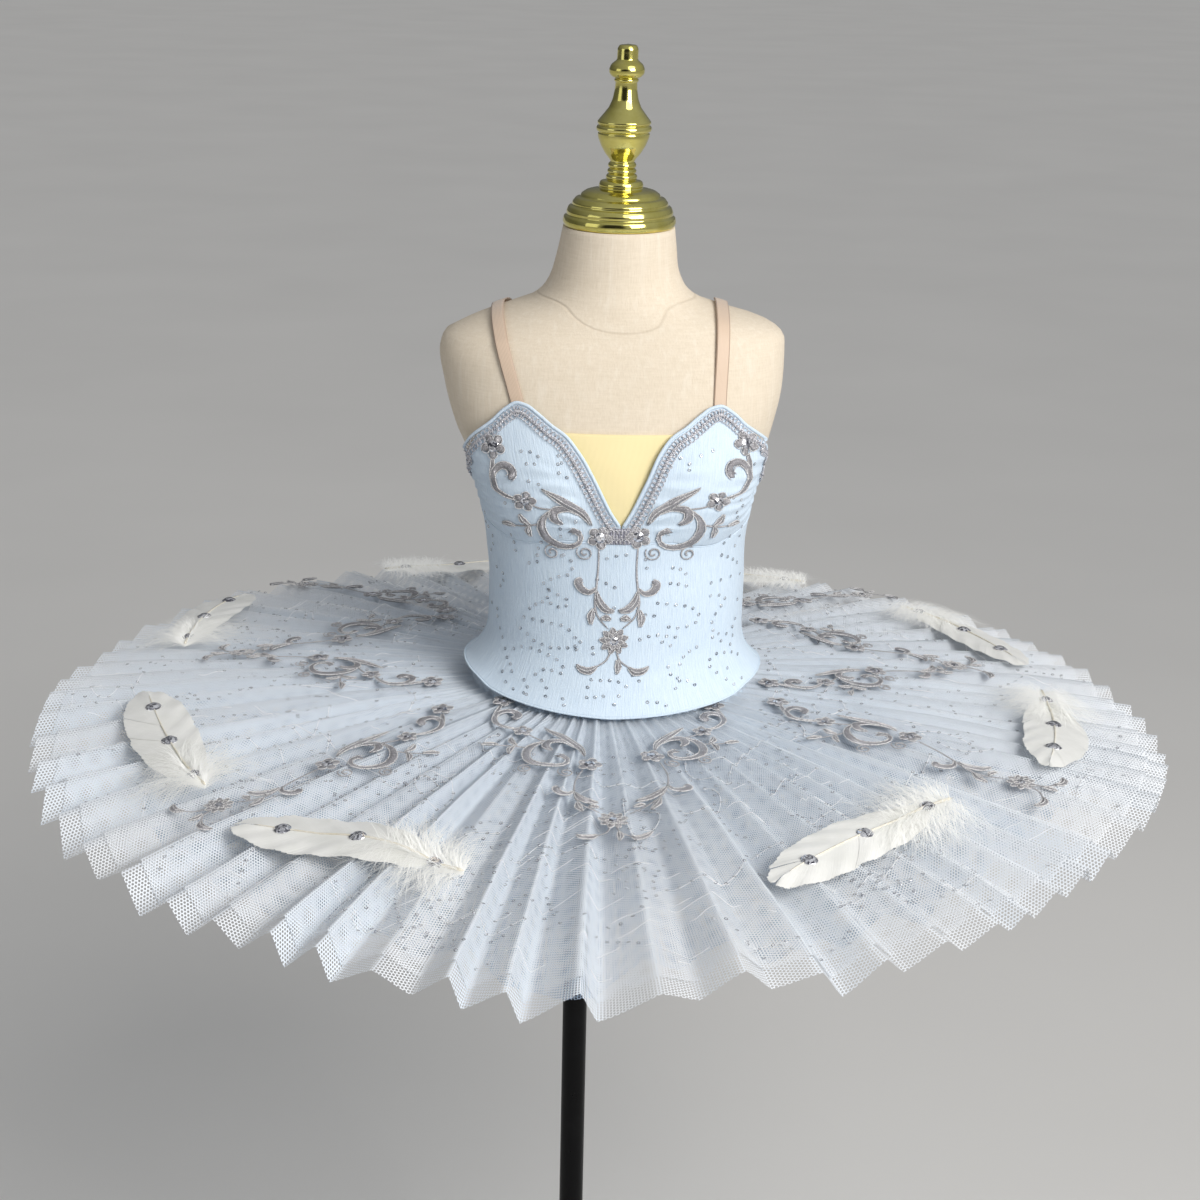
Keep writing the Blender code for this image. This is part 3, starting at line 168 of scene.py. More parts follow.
# Pleats along the front of the hem, from left to right: azimuth and height of each lower
# fold, azimuth and height of the upper fold after it. The others are spaced by a rule.
FRONT_PLEATS = np.array([
    (-57.7, 0.7128, -53.6, 0.7390), (-50.1, 0.7230, -46.3, 0.7400), (-43.2, 0.7153, -39.7, 0.7370),
    (-36.9, 0.7171, -34.0, 0.7368), (-31.0, 0.7225, -27.7, 0.7427), (-26.4, 0.7202, -23.3, 0.7416),
    (-22.1, 0.7172, -18.2, 0.7320), (-14.9, 0.7180, -11.7, 0.7357), (-10.7, 0.7131, -7.0, 0.7308),
    (-5.9, 0.7080, -1.1, 0.7328), (0.3, 0.7107, 5.3, 0.7313), (8.5, 0.7240, 12.1, 0.7450),
    (14.4, 0.7290, 18.6, 0.7390), (20.7, 0.7170, 24.4, 0.7400), (26.4, 0.7250, 30.3, 0.7421),
    (32.4, 0.7285, 35.8, 0.7441), (37.9, 0.7320, 39.6, 0.7460), (41.0, 0.7344, 43.6, 0.7520),
    (45.6, 0.7370, 48.0, 0.7550), (49.8, 0.7370, 52.2, 0.7570), (54.4, 0.7426, 58.8, 0.7610),
    (62.2, 0.7413, 65.8, 0.7600),
])

# Middle height of the hem by azimuth.
HEM_LINE = np.array([
    (-180.0, 0.7200), (-155.0, 0.7265), (-140.0, 0.7280), (-121.0, 0.7370), (-106.0, 0.7340),
    (-95.0, 0.7410), (-85.0, 0.7460), (-75.0, 0.7410), (-57.0, 0.7265), (-40.0, 0.7265),
    (-28.0, 0.7315), (-10.0, 0.7225), (0.0, 0.7205), (12.0, 0.7350), (21.0, 0.7290),
    (35.0, 0.7370), (50.0, 0.7470), (62.0, 0.7510), (75.0, 0.7420), (90.0, 0.7300),
    (120.0, 0.7260), (140.0, 0.7240), (160.0, 0.7185),
])

# Lower layers of the skirt: number of pleats, radius of the hem, height of the seam, how far
# the hem lies below the top layer, and the flat cut.
UNDER_LAYERS = {
    "skirt_under_1": {
        "pleats": 40, "reach": 0.385, "seam_z": 0.7550, "edge_drop": 0.0290,
        "flat": (3.3, 0.29), "area": 0.60,
    },
    "skirt_under_2": {
        "pleats": 28, "reach": 0.285, "seam_z": 0.7400, "edge_drop": 0.0450,
        "flat": (2.3, 0.20), "area": 0.33,
    },
}

# The lower layers' longest fold: its azimuth and half width in degrees, and how much
# further out and lower it reaches.
LONG_FOLD = {"azimuth": -4.0, "half_width": 4.0, "further": 0.013, "lower": 0.016}

# Feathers, in tenths of a millimetre: quill end and tip from the skirt's centre, and the
# shaft's bend to its left.
FEATHERS = {
    "feather_1": ((-900, -3380), (-2500, -2720), -60),
    "feather_2": ((2580, -2320), (1280, -3370), -60),
    "feather_3": ((3720, 300), (3430, -1580), 70),
    "feather_4": ((2830, 2620), (3660, 1140), 90),
    "feather_5": ((-2900, -2110), (-3640, -560), 50),
    "feather_6": ((-3620, 860), (-3360, 2360), 100),
    "feather_7": ((2000, 3500), (620, 4080), 60),
    "feather_8": ((-2150, 3400), (-750, 4000), -60),
}

FEATHER_STONES = (0.14, 0.50, 0.84)

# Halves of the skirt's scroll motifs, in tenths of a millimetre from the skirt's centre:
# stone flower, end flower, vine tip, whether the sprig turns to the other side, and how far
# the vine is bowed.
MOTIFS = {
    "motif_1": [
        ((400, -1670), (900, -730), (110, -2590), False, 150),
        ((-70, -1780), (-770, -720), (110, -2590), True, 130),
    ],
    "motif_2": [
        ((-2040, -1800), (-1250, -860), (-2760, -2370), False),
    ],
    "motif_3": [
        ((-2380, 300), (-1370, -330), (-3070, 580), False),
        ((-2250, 840), (-1400, 1500), (-3070, 580), True),
    ],
    "motif_4": [
        ((-2160, 2460), (-1420, 1780), (-2850, 2980), True),
    ],
    "motif_5": [
        ((2400, -1260), (1420, -630), (3140, -1970), True),
    ],
    "motif_6": [
        ((2320, 360), (1380, -200), (3060, 780), True),
        ((2220, 980), (1420, 1660), (3060, 780), False),
    ],
    "motif_7": [
        ((1900, 2620), (1080, 2000), (2520, 3120), False),
    ],
    "motif_8": [
        ((-360, 1820), (-940, 1040), (0, 2660), False),
        ((360, 1820), (940, 1040), (0, 2660), True),
    ],
}

# The two halves of the bodice's motif, in tenths of a millimetre across and up from the
# stones' level.
BODICE_MOTIF = {
    "right": ((170, -37), (978, 659), (-10, -900), False),
    "left": ((-119, -50), (-877, 615), (-10, -900), True),
}

# The neck cap's profile with its turned finial, in tenths of a millimetre: radius, height
# above the neck.
CAP_PROFILE = np.array([
    (425, 0), (440, 35), (432, 75), (408, 88), (415, 112), (398, 150), (370, 160), (372, 183),
    (345, 216), (312, 224), (305, 246), (270, 270), (225, 282), (166, 290), (173, 315), (160, 345),
    (112, 355), (120, 364), (121, 382), (112, 396), (96, 401), (110, 408), (113, 423), (104, 437),
    (92, 442), (106, 449), (110, 466), (102, 482), (92, 490), (100, 508), (137, 552), (172, 610),
    (197, 675), (200, 702), (192, 712), (208, 722), (214, 742), (206, 760), (194, 768), (205, 777),
    (206, 792), (188, 815), (160, 850), (125, 895), (100, 955), (86, 1030), (83, 1085), (93, 1092),
    (93, 1106), (83, 1113), (112, 1124), (134, 1150), (136, 1180), (122, 1215), (95, 1238),
    (80, 1250), (80, 1330), (66, 1358), (0, 1366),
]) / TENTHS
CAP_PLACE = (TORSO_X - 0.0018, -0.001, NECK_TOP + 0.0003)
CAP_LEAN = 0.027

# The spray of a half motif, drawn from its stone flower at (0, 0) to its end flower: kind
# of stroke, places and half widths in tenths of a millimetre.
SPRAY_END = (0.0818, 0.0763)
SPRAY = [
    ("leaf", [(60, 105), (110, 200), (240, 310), (380, 405), (440, 450)], [8, 28, 33, 22, 5]),
    ("corded", [(335, 270), (410, 215), (455, 95), (410, -45), (295, -92),
     (180, -60), (150, 10), (195, 66), (258, 48)], [10, 16, 30, 34, 28, 20, 16, 18, 34]),
    ("corded", [(150, 210), (250, 265), (345, 250), (352, 180), (285, 118)], [6, 16, 30, 32, 8]),
    ("stroke", [(350, 262), (480, 290), (558, 335)], [8, 8]),
    ("corded", [(600, 350), (700, 375), (785, 440), (812, 560), (815, 700)], [8, 13, 22, 18, 9]),
    ("corded", [(800, 480), (795, 575), (740, 625), (680, 610), (655, 555), (685, 515)],
     [10, 20, 25, 28, 32, 30]),
    ("stroke", [(440, 135), (560, 95), (660, 78)], [8, 7]),
    ("leaf", [(650, 78), (710, 86), (775, 68)], [6, 27, 6]),
    ("leaf", [(530, 105), (580, 150), (605, 215)], [6, 28, 8]),
    ("leaf", [(545, 100), (562, 40), (552, -22)], [6, 25, 8]),
]

# In metres: the flowers' middle, radius and turn, and the spirals' middle and turn.
SPRAY_FLOWERS = [
    ((0.0, 0.0), 0.0095, 0.2), ((0.0558, 0.0335), 0.0080, 0.5), (SPRAY_END, 0.0092, 0.1)
]
SPRAY_SPIRALS = [((0.0125, -0.0140), 2.4), ((0.0400, -0.0158), 0.9)]

# The vine of a half motif, drawn from its stone flower to the tip's flower, as the spray is.
VINE_END = (-0.0180, -0.0863)
VINE = [
    ("stroke", [(0, -60), (-11, -268), (-5, -445), (2, -560), (-25, -660), (-131, -776)],
     [8, 7, 9, 8, 7]),
    ("corded", [(-6, -430), (45, -475), (110, -455), (135, -395), (100, -375)],
     [8, 18, 28, 30, 22]),
    ("leaf", [(-6, -450), (-30, -540), (-90, -605), (-160, -618)], [6, 28, 32, 10]),
    ("leaf", [(4, -605), (20, -680), (12, -755)], [7, 30, 9]),
    ("leaf", [(-58, -690), (-98, -676), (-140, -688)], [7, 26, 7]),
]
VINE_SHOOT = [(-0.0012, -0.0560), (0.0002, -0.0620)]

# The feather's vane: share of its length, length of the barbs.
VANE = np.array([
    (0.14, 0.021), (0.25, 0.031), (0.42, 0.038), (0.62, 0.038), (0.78, 0.034), (0.90, 0.026),
    (0.97, 0.017), (1.00, 0.009),
])

# Gathers of the cups by the size of the azimuth in degrees: the start at the side seam, the
# faded end, the ridge's height and half width.
CUP_CREASES = [
    (88.0, 0.9620, 34.0, 0.9640, 0.0016, 0.0028), (88.0, 0.9530, 28.0, 0.9560, 0.0018, 0.0028),
    (88.0, 0.9450, 30.0, 0.9500, 0.0018, 0.0027), (88.0, 0.9375, 25.0, 0.9420, 0.0016, 0.0026),
    (88.0, 0.9300, 32.0, 0.9300, 0.0015, 0.0025), (86.0, 0.9240, 42.0, 0.9200, 0.0012, 0.0022),
    (80.0, 0.9700, 44.0, 0.9760, 0.0014, 0.0030), (10.0, 0.9330, 30.0, 0.9420, 0.0012, 0.0024),
    (12.0, 0.9450, 32.0, 0.9520, 0.0012, 0.0026), (15.0, 0.9580, 34.0, 0.9610, 0.0012, 0.0028),
    (20.0, 0.9700, 38.0, 0.9700, 0.0010, 0.0030), (14.0, 0.9230, 34.0, 0.9280, 0.0010, 0.0022),
]

# Sequin lines on the bodice, in tenths of a millimetre: places across and up from the
# stones' level.
SEQUIN_LINES = [
    [(-701, -805), (-626, -800), (-536, -800), (-447, -810), (-387, -810), (-327, -865),
     (-297, -910), (-302, -965)],
    [(-726, -905), (-676, -930), (-636, -965), (-541, -995), (-471, -1005), (-417, -995),
     (-357, -985)],
    [(-831, -1120), (-771, -1095), (-711, -1055), (-596, -1045), (-516, -1065), (-451, -1085),
     (-392, -1130), (-367, -1180), (-422, -1205), (-486, -1175), (-531, -1195), (-576, -1240)],
    [(-656, -720), (-561, -640), (-491, -640), (-437, -660), (-377, -640)],
    [(-377, -585), (-447, -555), (-511, -530), (-546, -480)],
    [(-486, -435), (-427, -405), (-357, -380), (-322, -320), (-332, -260), (-387, -215)],
    [(-651, -335), (-586, -305), (-591, -225), (-561, -145), (-536, -70)],
    [(-62, -220), (12, -195), (82, -185)],
    [(312, -595), (372, -605), (447, -620), (521, -640), (576, -665), (631, -755), (591, -805),
     (526, -815), (461, -815), (402, -800)],
    [(187, -890), (242, -870), (302, -860), (367, -870), (456, -890)],
    [(806, -275), (866, -320), (915, -375), (930, -400)],
    [(721, -490), (766, -480), (806, -490), (881, -490), (950, -515)],
    [(716, -595), (766, -605), (816, -625), (831, -680), (781, -725), (756, -770), (736, -820),
     (771, -925), (841, -955), (910, -1005), (891, -1070)],
    [(731, -1130), (776, -1100), (826, -1110), (891, -1130), (945, -1180)],
    [(731, -1185), (756, -1235), (806, -1250), (861, -1240)],
    [(841, -1315), (866, -1360), (905, -1380), (935, -1350)],
    [(-671, 600), (-606, 600), (-551, 570)], [(-631, 515), (-576, 515)],
    [(-611, 395), (-541, 375)], [(-412, 520), (-407, 460), (-352, 425)], [(546, 535), (536, 495)],
    [(412, 515), (367, 480), (332, 445)], [(821, 270), (876, 240), (896, 175)],
    [(-776, -115), (-766, -195), (-756, -255)], [(-806, -1180), (-771, -1220), (-751, -1265)],
    [(-651, -1300), (-616, -1345), (-611, -1400)],
    [(-576, -1240), (-516, -1280), (-481, -1325), (-476, -1385)], [(-167, -965), (-162, -1015)],
    [(-182, -1280), (-167, -1225), (-112, -1225), (-42, -1220), (27, -1225), (102, -1265)],
    [(-182, -1355), (-122, -1350), (-62, -1340)], [(22, -1400), (52, -1335)],
    [(262, -1385), (327, -1390), (397, -1420)], [(147, -1180), (197, -1225)],
    [(471, -1300), (496, -1250), (551, -1250), (611, -1295)],
    [(501, -1120), (536, -1050), (571, -1025), (626, -1000)],
    [(412, -1130), (437, -1195), (486, -1225)], [(357, -920), (422, -955)],
    [(531, -375), (481, -325), (432, -310)], [(412, -440), (466, -450), (531, -475)],
    [(237, -300), (227, -225)], [(162, -650), (222, -690), (287, -700)],
    [(-137, -400), (-77, -425), (-7, -460)], [(-92, -610), (-17, -630)],
    [(-402, -225), (-332, -260)], [(-511, -525), (-521, -595)], [(-262, -925), (-292, -990)],
    [(-975, -150), (-945, -195), (-935, -275), (-955, -355)],
    [(-915, -470), (-886, -470), (-861, -520), (-891, -620)],
    [(-960, -815), (-920, -820), (-910, -890)], [(-886, -975), (-861, -1040)],
    [(-816, -1290), (-756, -1370), (-631, -1395)], [(-995, -125), (-1000, -35)],
    [(-706, 225), (-766, 200)], [(-337, -1430), (-352, -1385)],
    [(960, -85), (945, -165), (910, -235)], [(746, -950), (816, -1005)],
    [(990, -730), (935, -720)], [(925, -875), (905, -930)], [(861, -120), (821, -170)],
    [(-292, 80), (-282, 0)], [(-397, 85), (-407, -55)], [(751, 270), (696, 240)],
    [(965, 550), (1010, 495)], [(861, 120), (866, 75)], [(-387, 530), (-407, 580)],
    [(-252, 360), (-222, 305)], [(-302, 515), (-252, 465)], [(726, 625), (636, 595)],
    [(486, 580), (437, 600)],
]

# Gap between the upper folds and what lies over them, places to each sequin of a chain, and
# the distance between a chain's sequins
FOLD_CLEARANCE = 0.0012
CHAIN_PARTS = 2
SEQUIN_STEP = 0.0085

# Walls of the cloths, the gap at the side seams in radians, and the girth's mean radius
PANEL_WALL = 0.0009
THIN_WALL = 0.0008
SEAM_GAP = 0.0015
SIDE_SEAM_HEIGHTS = (0.789, 0.953)
MEAN_RADIUS = 0.105
BRIEF_EASE = 0.0033
GUSSET_AZIMUTHS = (-10.4, 32.7)

# Heights over which the cups' gathers fade at the bust seam and at the upper edge
CREASE_FADE_LOW = 0.004
CREASE_FADE_HIGH = 0.010

# The neck's stitched seam: its level, and how far, how wide and how sharply it dips in front
NECK_SEAM_LEVEL = 1.0909
NECK_SEAM_DIP = 0.0205
NECK_SEAM_SPREAD = 0.222
NECK_SEAM_WIDTH = 0.0011

# The braid: loops and samples along a cup, reach into the cup, share of painted glints, the
# distance and swing of its two loop lines, and the level, swing and phase of each line of its ends.
BRAID_LOOPS = 66
BRAID_SAMPLES = BRAID_LOOPS * 16
BRAID_REACH = 0.0098
BRAID_PAINTED_GLINTS = 0.55
BRAID_LOOP_ROWS = ((0.0048, 0.0017), (0.0099, -0.0017))
BRAID_END_ROWS = ((0.0002, 0.0014, 0.0), (-0.0042, -0.0014, 1.3), (-0.0080, 0.0014, 2.4))
BRAID_END_REACH = (-0.0125, 0.0175)

# Columns to a pleat's face, and how much the slope eases off at a fold
TOP_STEPS = 6
UNDER_STEPS = 5
FOLD_EASE = 0.12

# A cut stone's rings: share of the radius, level, offset in half sides
STONE_SIDES = 10
STONE_RINGS = (
    (0.0, 0.0, 0.0), (1.0, 0.0, 0.0), (1.0, 0.22, 0.5),
    (0.82, 0.55, 0.0), (0.50, 1.0, 0.5), (0.0, 1.0, 0.0),
)

# A sequin's circles, radius and level, and the height at which it lies on the cloth
SEQUIN_RIMS = ((0.00145, 0.0), (0.0012, 0.00028), (0.00075, 0.00012))
SEWN_HEIGHT = 0.0006

# Beyond a vine's tip: one of the two stems and leaves, and the bud, from the flower outwards
TIP_STEM = np.array([(0.008, 0.002), (0.016, 0.005), (0.0225, 0.013)])
TIP_LEAF = np.array([(0.0215, 0.0115), (0.0255, 0.0175), (0.0245, 0.0235), (0.0210, 0.0275)])
TIP_BUD = np.array([(0.0150, 0.0030), (0.0210, 0.0042), (0.0275, 0.0035)])

# By the share of a feather's length: the barbs' angle in degrees, and the down's length
BARB_ANGLES = np.array([(0.15, 58.0), (0.7, 46.0), (0.93, 20.0), (1.0, 1.0)])
DOWN_REACH = np.array([(0.0, 0.036), (0.08, 0.054), (0.2, 0.054), (0.4, 0.044)])

# The studio: where the lamps point, the floor's half width, the painted bright glints of
# thread, and the room's two gradients: direction, and the range that is moved to another range.
LIGHT_AIM = (0.0, 0.0, 0.85)
FLOOR_REACH = 60.0
PAINTED_SILVER_GLINT = (0.97, 0.95, 0.94, 1.0)
ROOM_GRADES = (
    ((0.50, -0.45, 0.74), (-0.5, 0.95, 0.12, 0.46)),
    ((-0.22, -0.97, 0.10), (0.88, 0.93, 1.0, 0.08)),
)


def arithmetic(operation, swapped=False):
    """A method that adds a Math node to the tree of a Link."""

    def method(self, other):
        return self.math(operation, *((other, self) if swapped else (self, other)))

    return method


class Link:
    """A node's output; arithmetic on it adds Math nodes to its tree."""

    def __init__(self, nodes, socket):
        self.nodes = nodes
        self.socket = socket

    def math(self, operation, *values):
        """A Math node."""
        return self.nodes.add("ShaderNodeMath", {"operation": operation}, *values)

    __add__ = __radd__ = arithmetic("ADD")
    __mul__ = __rmul__ = arithmetic("MULTIPLY")
    __sub__ = arithmetic("SUBTRACT")
    __rsub__ = arithmetic("SUBTRACT", True)
    __truediv__ = arithmetic("DIVIDE")
    __rpow__ = arithmetic("POWER", True)

    def __abs__(self):
        return self.math("ABSOLUTE", self)

    def cosine(self):
        """The cosine of an angle in radians."""
        return self.math("COSINE", self)

    def ranged(self, low, high, to_low=0.0, to_high=1.0):
        """The value moved from one range to another, held at its ends."""
        return self.nodes.add("ShaderNodeMapRange", {}, self, low, high, to_low, to_high)


class Nodes:
    """A node tree, and what adds nodes to it."""

    def __init__(self, tree):
        self.tree = tree

    def join(self, value, socket):
        """Gives a socket a constant or a link."""
        if isinstance(value, Link):
            self.tree.links.new(value.socket, socket)
        else:
            socket.default_value = value

    def add(self, kind, settings, *values, output=0, **named):
        """A node with its settings, then its sockets' values in order or by name."""
        node = self.tree.nodes.new(kind)
        for name, value in settings.items():
            setattr(node, name, value)
        for socket, value in zip([s for s in node.inputs if s.enabled], values):
            self.join(value, socket)
        for name, value in named.items():
            self.join(value, node.inputs[name.replace("_", " ")])
        if isinstance(output, str):
            return Link(self, node.outputs[output])
        return Link(self, [s for s in node.outputs if s.enabled][output])


class Surface(Nodes):
    """A material with its Principled shader, and the nodes that vary it."""

    def __init__(self, name, constants):
        self.material = bpy.data.materials.new(name)
        self.material.use_nodes = True
        super().__init__(self.material.node_tree)
        self.shader = self.tree.nodes["Principled BSDF"]
        for socket, value in constants.items():
            self.set(socket, value)

    def set(self, socket, value):
        """Gives one of the shader's sockets a constant or a link."""
        self.join(value, self.shader.inputs[socket])

    def object_place(self):
        """The place in metres, as a vector."""
        return self.add("ShaderNodeTexCoord", {}, output="Object")

    def cloth_place(self):
        """The place along and across the cloth in metres, from its UV map."""
        return self.add("ShaderNodeUVMap", {"uv_map": "cloth"})

    def attribute(self, name):
        """A number stored on the mesh."""
        return self.add("ShaderNodeAttribute", {"attribute_name": name}, output="Fac")

    def split(self, vector):
        """The three parts of a vector."""
        node = self.tree.nodes.new("ShaderNodeSeparateXYZ")
        self.join(vector, node.inputs[0])
        return [Link(self, output) for output in node.outputs]

    def stretched(self, vector, scale):
        """A vector with each part made longer or shorter."""
        return self.add("ShaderNodeVectorMath", {"operation": "MULTIPLY"}, vector, scale)

    def noise(self, vector, scale, detail=2.0, rough=0.5):
        """Smooth random values round a half, with scale waves to a metre."""
        return self.add(
            "ShaderNodeTexNoise", {}, Vector=vector, Scale=scale, Detail=detail, Roughness=rough
        )

    def mix(self, share, low, high):
        """A colour between two colours."""
        node = self.tree.nodes.new("ShaderNodeMix")
        node.data_type = "RGBA"
        for number, value in ((0, share), (6, low), (7, high)):
            self.join(value, node.inputs[number])
        return Link(self, node.outputs[2])

    def bump(self, height, distance, strength=1.0):
        """A relief in metres on the shader's normal."""
        found = self.add("ShaderNodeBump", {}, Height=height, Distance=distance, Strength=strength)
        self.set("Normal", found)


def cubic(t, start, end, leave, arrive):
    """A value between two others, at a share t of the way, with given slopes at both."""
    ends = start * (1 + 2 * t) * (1 - t) ** 2 + end * t ** 2 * (3 - 2 * t)
    return ends + leave * t * (1 - t) ** 2 - arrive * t ** 2 * (1 - t)


def curve(at, table, column=1):
    """A smooth line through a table's rows: cubic pieces whose slopes never overshoot."""
    x, y = table[:, 0], table[:, column]
    step = np.diff(x)
    rise = np.diff(y) / step
    both = rise[1:] * rise[:-1]
    slope = np.concatenate([rise[:1], np.zeros(len(both)), rise[-1:]])
    turning = both > 0
    slope[1:-1][turning] = 2 * both[turning] / (rise[1:] + rise[:-1])[turning]
    at = np.clip(at, x[0], x[-1])
    i = np.clip(np.searchsorted(x, at, side="right") - 1, 0, len(step) - 1)
    return cubic((at - x[i]) / step[i], y[i], y[i + 1], slope[i] * step[i], slope[i + 1] * step[i])


def unit(vectors):
    """Vectors of length one."""
    return vectors / np.maximum(np.linalg.norm(vectors, axis=-1, keepdims=True), 1e-12)


def wrapped(angle):
    """An angle brought to within half a turn of 0."""
    return (angle + np.pi) % (2 * np.pi) - np.pi


def even_turns(count):
    """Angles at even steps round a circle."""
    return 2 * np.pi * np.arange(count) / count


def run_of(path):
    """The distance run along a path at each of its points."""
    return np.concatenate([[0.0], np.cumsum(np.linalg.norm(np.diff(path, axis=0), axis=1))])


def between(at, known, rows):
    """Rows of numbers interpolated between the rows that are known."""
    return np.stack([np.interp(at, known, column) for column in rows.T], axis=1)


def averaged(rows, reach):
    """Each row as the mean of its neighbours, up to reach rows away."""
    window = np.ones(2 * reach + 1) / (2 * reach + 1)
    padded = [np.pad(column, reach, "edge") for column in rows.T]
    return np.stack([np.convolve(column, window, "valid") for column in padded], axis=1)


def smooth_path(points, samples):
    """Points at even steps along a smooth curve through a few points of any dimension."""
    points = np.asarray(points, float)
    length = run_of(points)
    slope = np.gradient(points, length, axis=0)
    at = np.linspace(0.0, length[-1], samples)
    i = np.clip(np.searchsorted(length, at, side="right") - 1, 0, len(length) - 2)
    step = np.diff(length)[i][:, None]
    t = (at - length[i])[:, None] / step
    return cubic(t, points[i], points[i + 1], slope[i] * step, slope[i + 1] * step)


def grid_faces(rows, columns, wrap=False):
    """Quads of a grid whose points run row by row, as one array."""
    starts = np.arange(columns if wrap else columns - 1)
    row, column = np.meshgrid(np.arange(rows - 1), starts, indexing="ij")
    low = (row * columns + column).ravel()
    after = (row * columns + (column + 1) % columns).ravel()
    return np.stack([low, after, after + columns, low + columns], axis=1)


def grids(points, wrap=False):
    """Points and quads of several equal grids, from an array of pieces, rows, columns and xyz."""
    pieces, rows, columns = points.shape[:3]
    starts = (np.arange(pieces) * rows * columns)[:, None, None]
    faces = grid_faces(rows, columns, wrap) + starts
    return points.reshape(-1, 3), faces.reshape(-1, 4)


def joined(parts):
    """One list of points and one of quads from several."""
    starts = np.cumsum([0] + [len(points) for points, _ in parts])
    return (
        np.vstack([points for points, _ in parts]),
        np.vstack([faces + start for (_, faces), start in zip(parts, starts)]),
    )


def new_piece(name, points, faces, finish, slot, nodes=(), uv=None, values=None):
    """One object from points and quads, with a UV place and named numbers for each point."""
    points = np.asarray(points, np.float32).reshape(-1, 3)
    faces = np.asarray(faces, np.int32)
    starts = np.arange(0, faces.size, faces.shape[1], dtype=np.int32)
    mesh = bpy.data.meshes.new(name)
    mesh.vertices.add(len(points))
    mesh.vertices.foreach_set("co", points.ravel())
    mesh.loops.add(faces.size)
    mesh.loops.foreach_set("vertex_index", faces.ravel())
    mesh.polygons.add(len(faces))
    mesh.polygons.foreach_set("loop_start", starts)
    mesh.update(calc_edges=True)
    if uv is not None:
        corners = np.asarray(uv, np.float32).reshape(-1, 2)[faces.ravel()]
        mesh.uv_layers.new(name="cloth").data.foreach_set("uv", corners.ravel())
    for title, numbers in (values or {}).items():
        stored = mesh.attributes.new(title, "FLOAT", "POINT")
        stored.data.foreach_set("value", np.asarray(numbers, np.float32).ravel())
    mesh.shade_smooth()
    mesh.materials.append(finish.material)
    made = linked(name, mesh)
    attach(made, "root")
    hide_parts(*nodes)
    return made


def thicken(made, wall):
    """Gives a cloth its wall, inwards from the points."""
    solid = made.modifiers.new("wall", "SOLIDIFY")
    solid.thickness = wall
    solid.offset = -1.0


def merge_poles(made):
    """Merges the points of each ring that lies on an axis, and of a seam."""
    weld = made.modifiers.new("poles", "WELD")
    weld.merge_threshold = 2e-6


def linked(name, data):
    """A new object in the scene."""
    made = bpy.data.objects.new(name, data)
    bpy.context.scene.collection.objects.link(made)
    return made


def loose_piece(name, parts, finish, slot, values=None):
    """A piece that stands for no solid, with its poles merged."""
    points, faces = joined(parts)
    made = new_piece(name, points, faces, finish, slot, (), points[:, :2], values)
    merge_poles(made)
    return made


def cords(path, up, radius, sides=5, flat=1.0):
    """Round cords: a ring of points round each place of each path, flattened by a share.

    The first and the last ring shrink to a point, which closes the cord.
    """
    path, up = np.asarray(path, float), np.broadcast_to(up, np.shape(path))
    along = unit(np.gradient(path, axis=-2))
    side = unit(np.cross(along, up))
    top = np.cross(side, along)
    turn = -even_turns(sides)[:, None]
    ends = np.ones(path.shape[-2])
    ends[[0, -1]] = 0.0
    radius = (np.broadcast_to(radius, path.shape[:-1]) * ends)[..., None, None]
    ring = side[..., None, :] * np.cos(turn) + flat * top[..., None, :] * np.sin(turn)
    points = path[..., None, :] + radius * ring
    return grids(points.reshape(-1, *points.shape[-3:]), True)


def form_row(z):
    """Half width, half depth, offsets in x and in y, and roundness of the form at a height."""
    return [curve(z, FORM_TABLE, i) for i in range(1, 6)]


def form_skin(azimuth, z):
    """Points on the form: each section is a superellipse round the torso's axis."""
    azimuth, z = np.broadcast_arrays(np.asarray(azimuth, float), np.asarray(z, float))
    half_width, half_depth, middle_x, middle_y, roundness = form_row(z)
    across, along = np.sin(azimuth), -np.cos(azimuth)
    x = TORSO_X + middle_x + half_width * np.sign(across) * np.abs(across) ** (2 / roundness)
    y = middle_y + half_depth * np.sign(along) * np.abs(along) ** (2 / roundness)
    return np.stack([x, y, z], axis=-1)


def form_normal(azimuth, z):
    """The form's outward direction: the cross product of steps round it and up it."""
    turn, rise = 0.02, 0.004
    around = form_skin(azimuth + turn, z) - form_skin(azimuth - turn, z)
    above, below = np.minimum(z + rise, NECK_TOP), np.maximum(z - rise, FORM_BOTTOM)
    return unit(np.cross(around, form_skin(azimuth, above) - form_skin(azimuth, below)))


def azimuth_at(x, z):
    """The front azimuth where the form is x from the middle of its row."""
    half_width, _, _, _, roundness = form_row(z)
    share = np.clip(np.abs(x) / half_width, 0.0, 1.0)
    return np.sign(x) * np.arcsin(share ** (roundness / 2))


def off_form(azimuth, z, away):
    """Points at a distance from the form's skin."""
    return form_skin(azimuth, z) + form_normal(azimuth, z) * np.asarray(away)[..., None]


def by_azimuth(table, azimuth):
    """A height from a table by the size of the azimuth."""
    return curve(np.degrees(np.abs(wrapped(azimuth))), table)


def cup_edge_height(azimuth):
    """Height of the cups' upper edge at an azimuth, from the V to the side seams."""
    heights = []
    for side in (-1, 1):
        edge = side * np.degrees(azimuth_at(V_OFFSET + side * CUP_EDGE[:, 0], CUP_EDGE[:, 1]))
        turns = np.concatenate([edge, SIDE_EDGE[:, 0]])
        levels = np.concatenate([CUP_EDGE[:, 1], SIDE_EDGE[:, 1]])
        heights.append(curve(side * np.degrees(azimuth), np.column_stack([turns, levels])))
    return np.where(azimuth < np.radians(V_AZIMUTH), *heights)


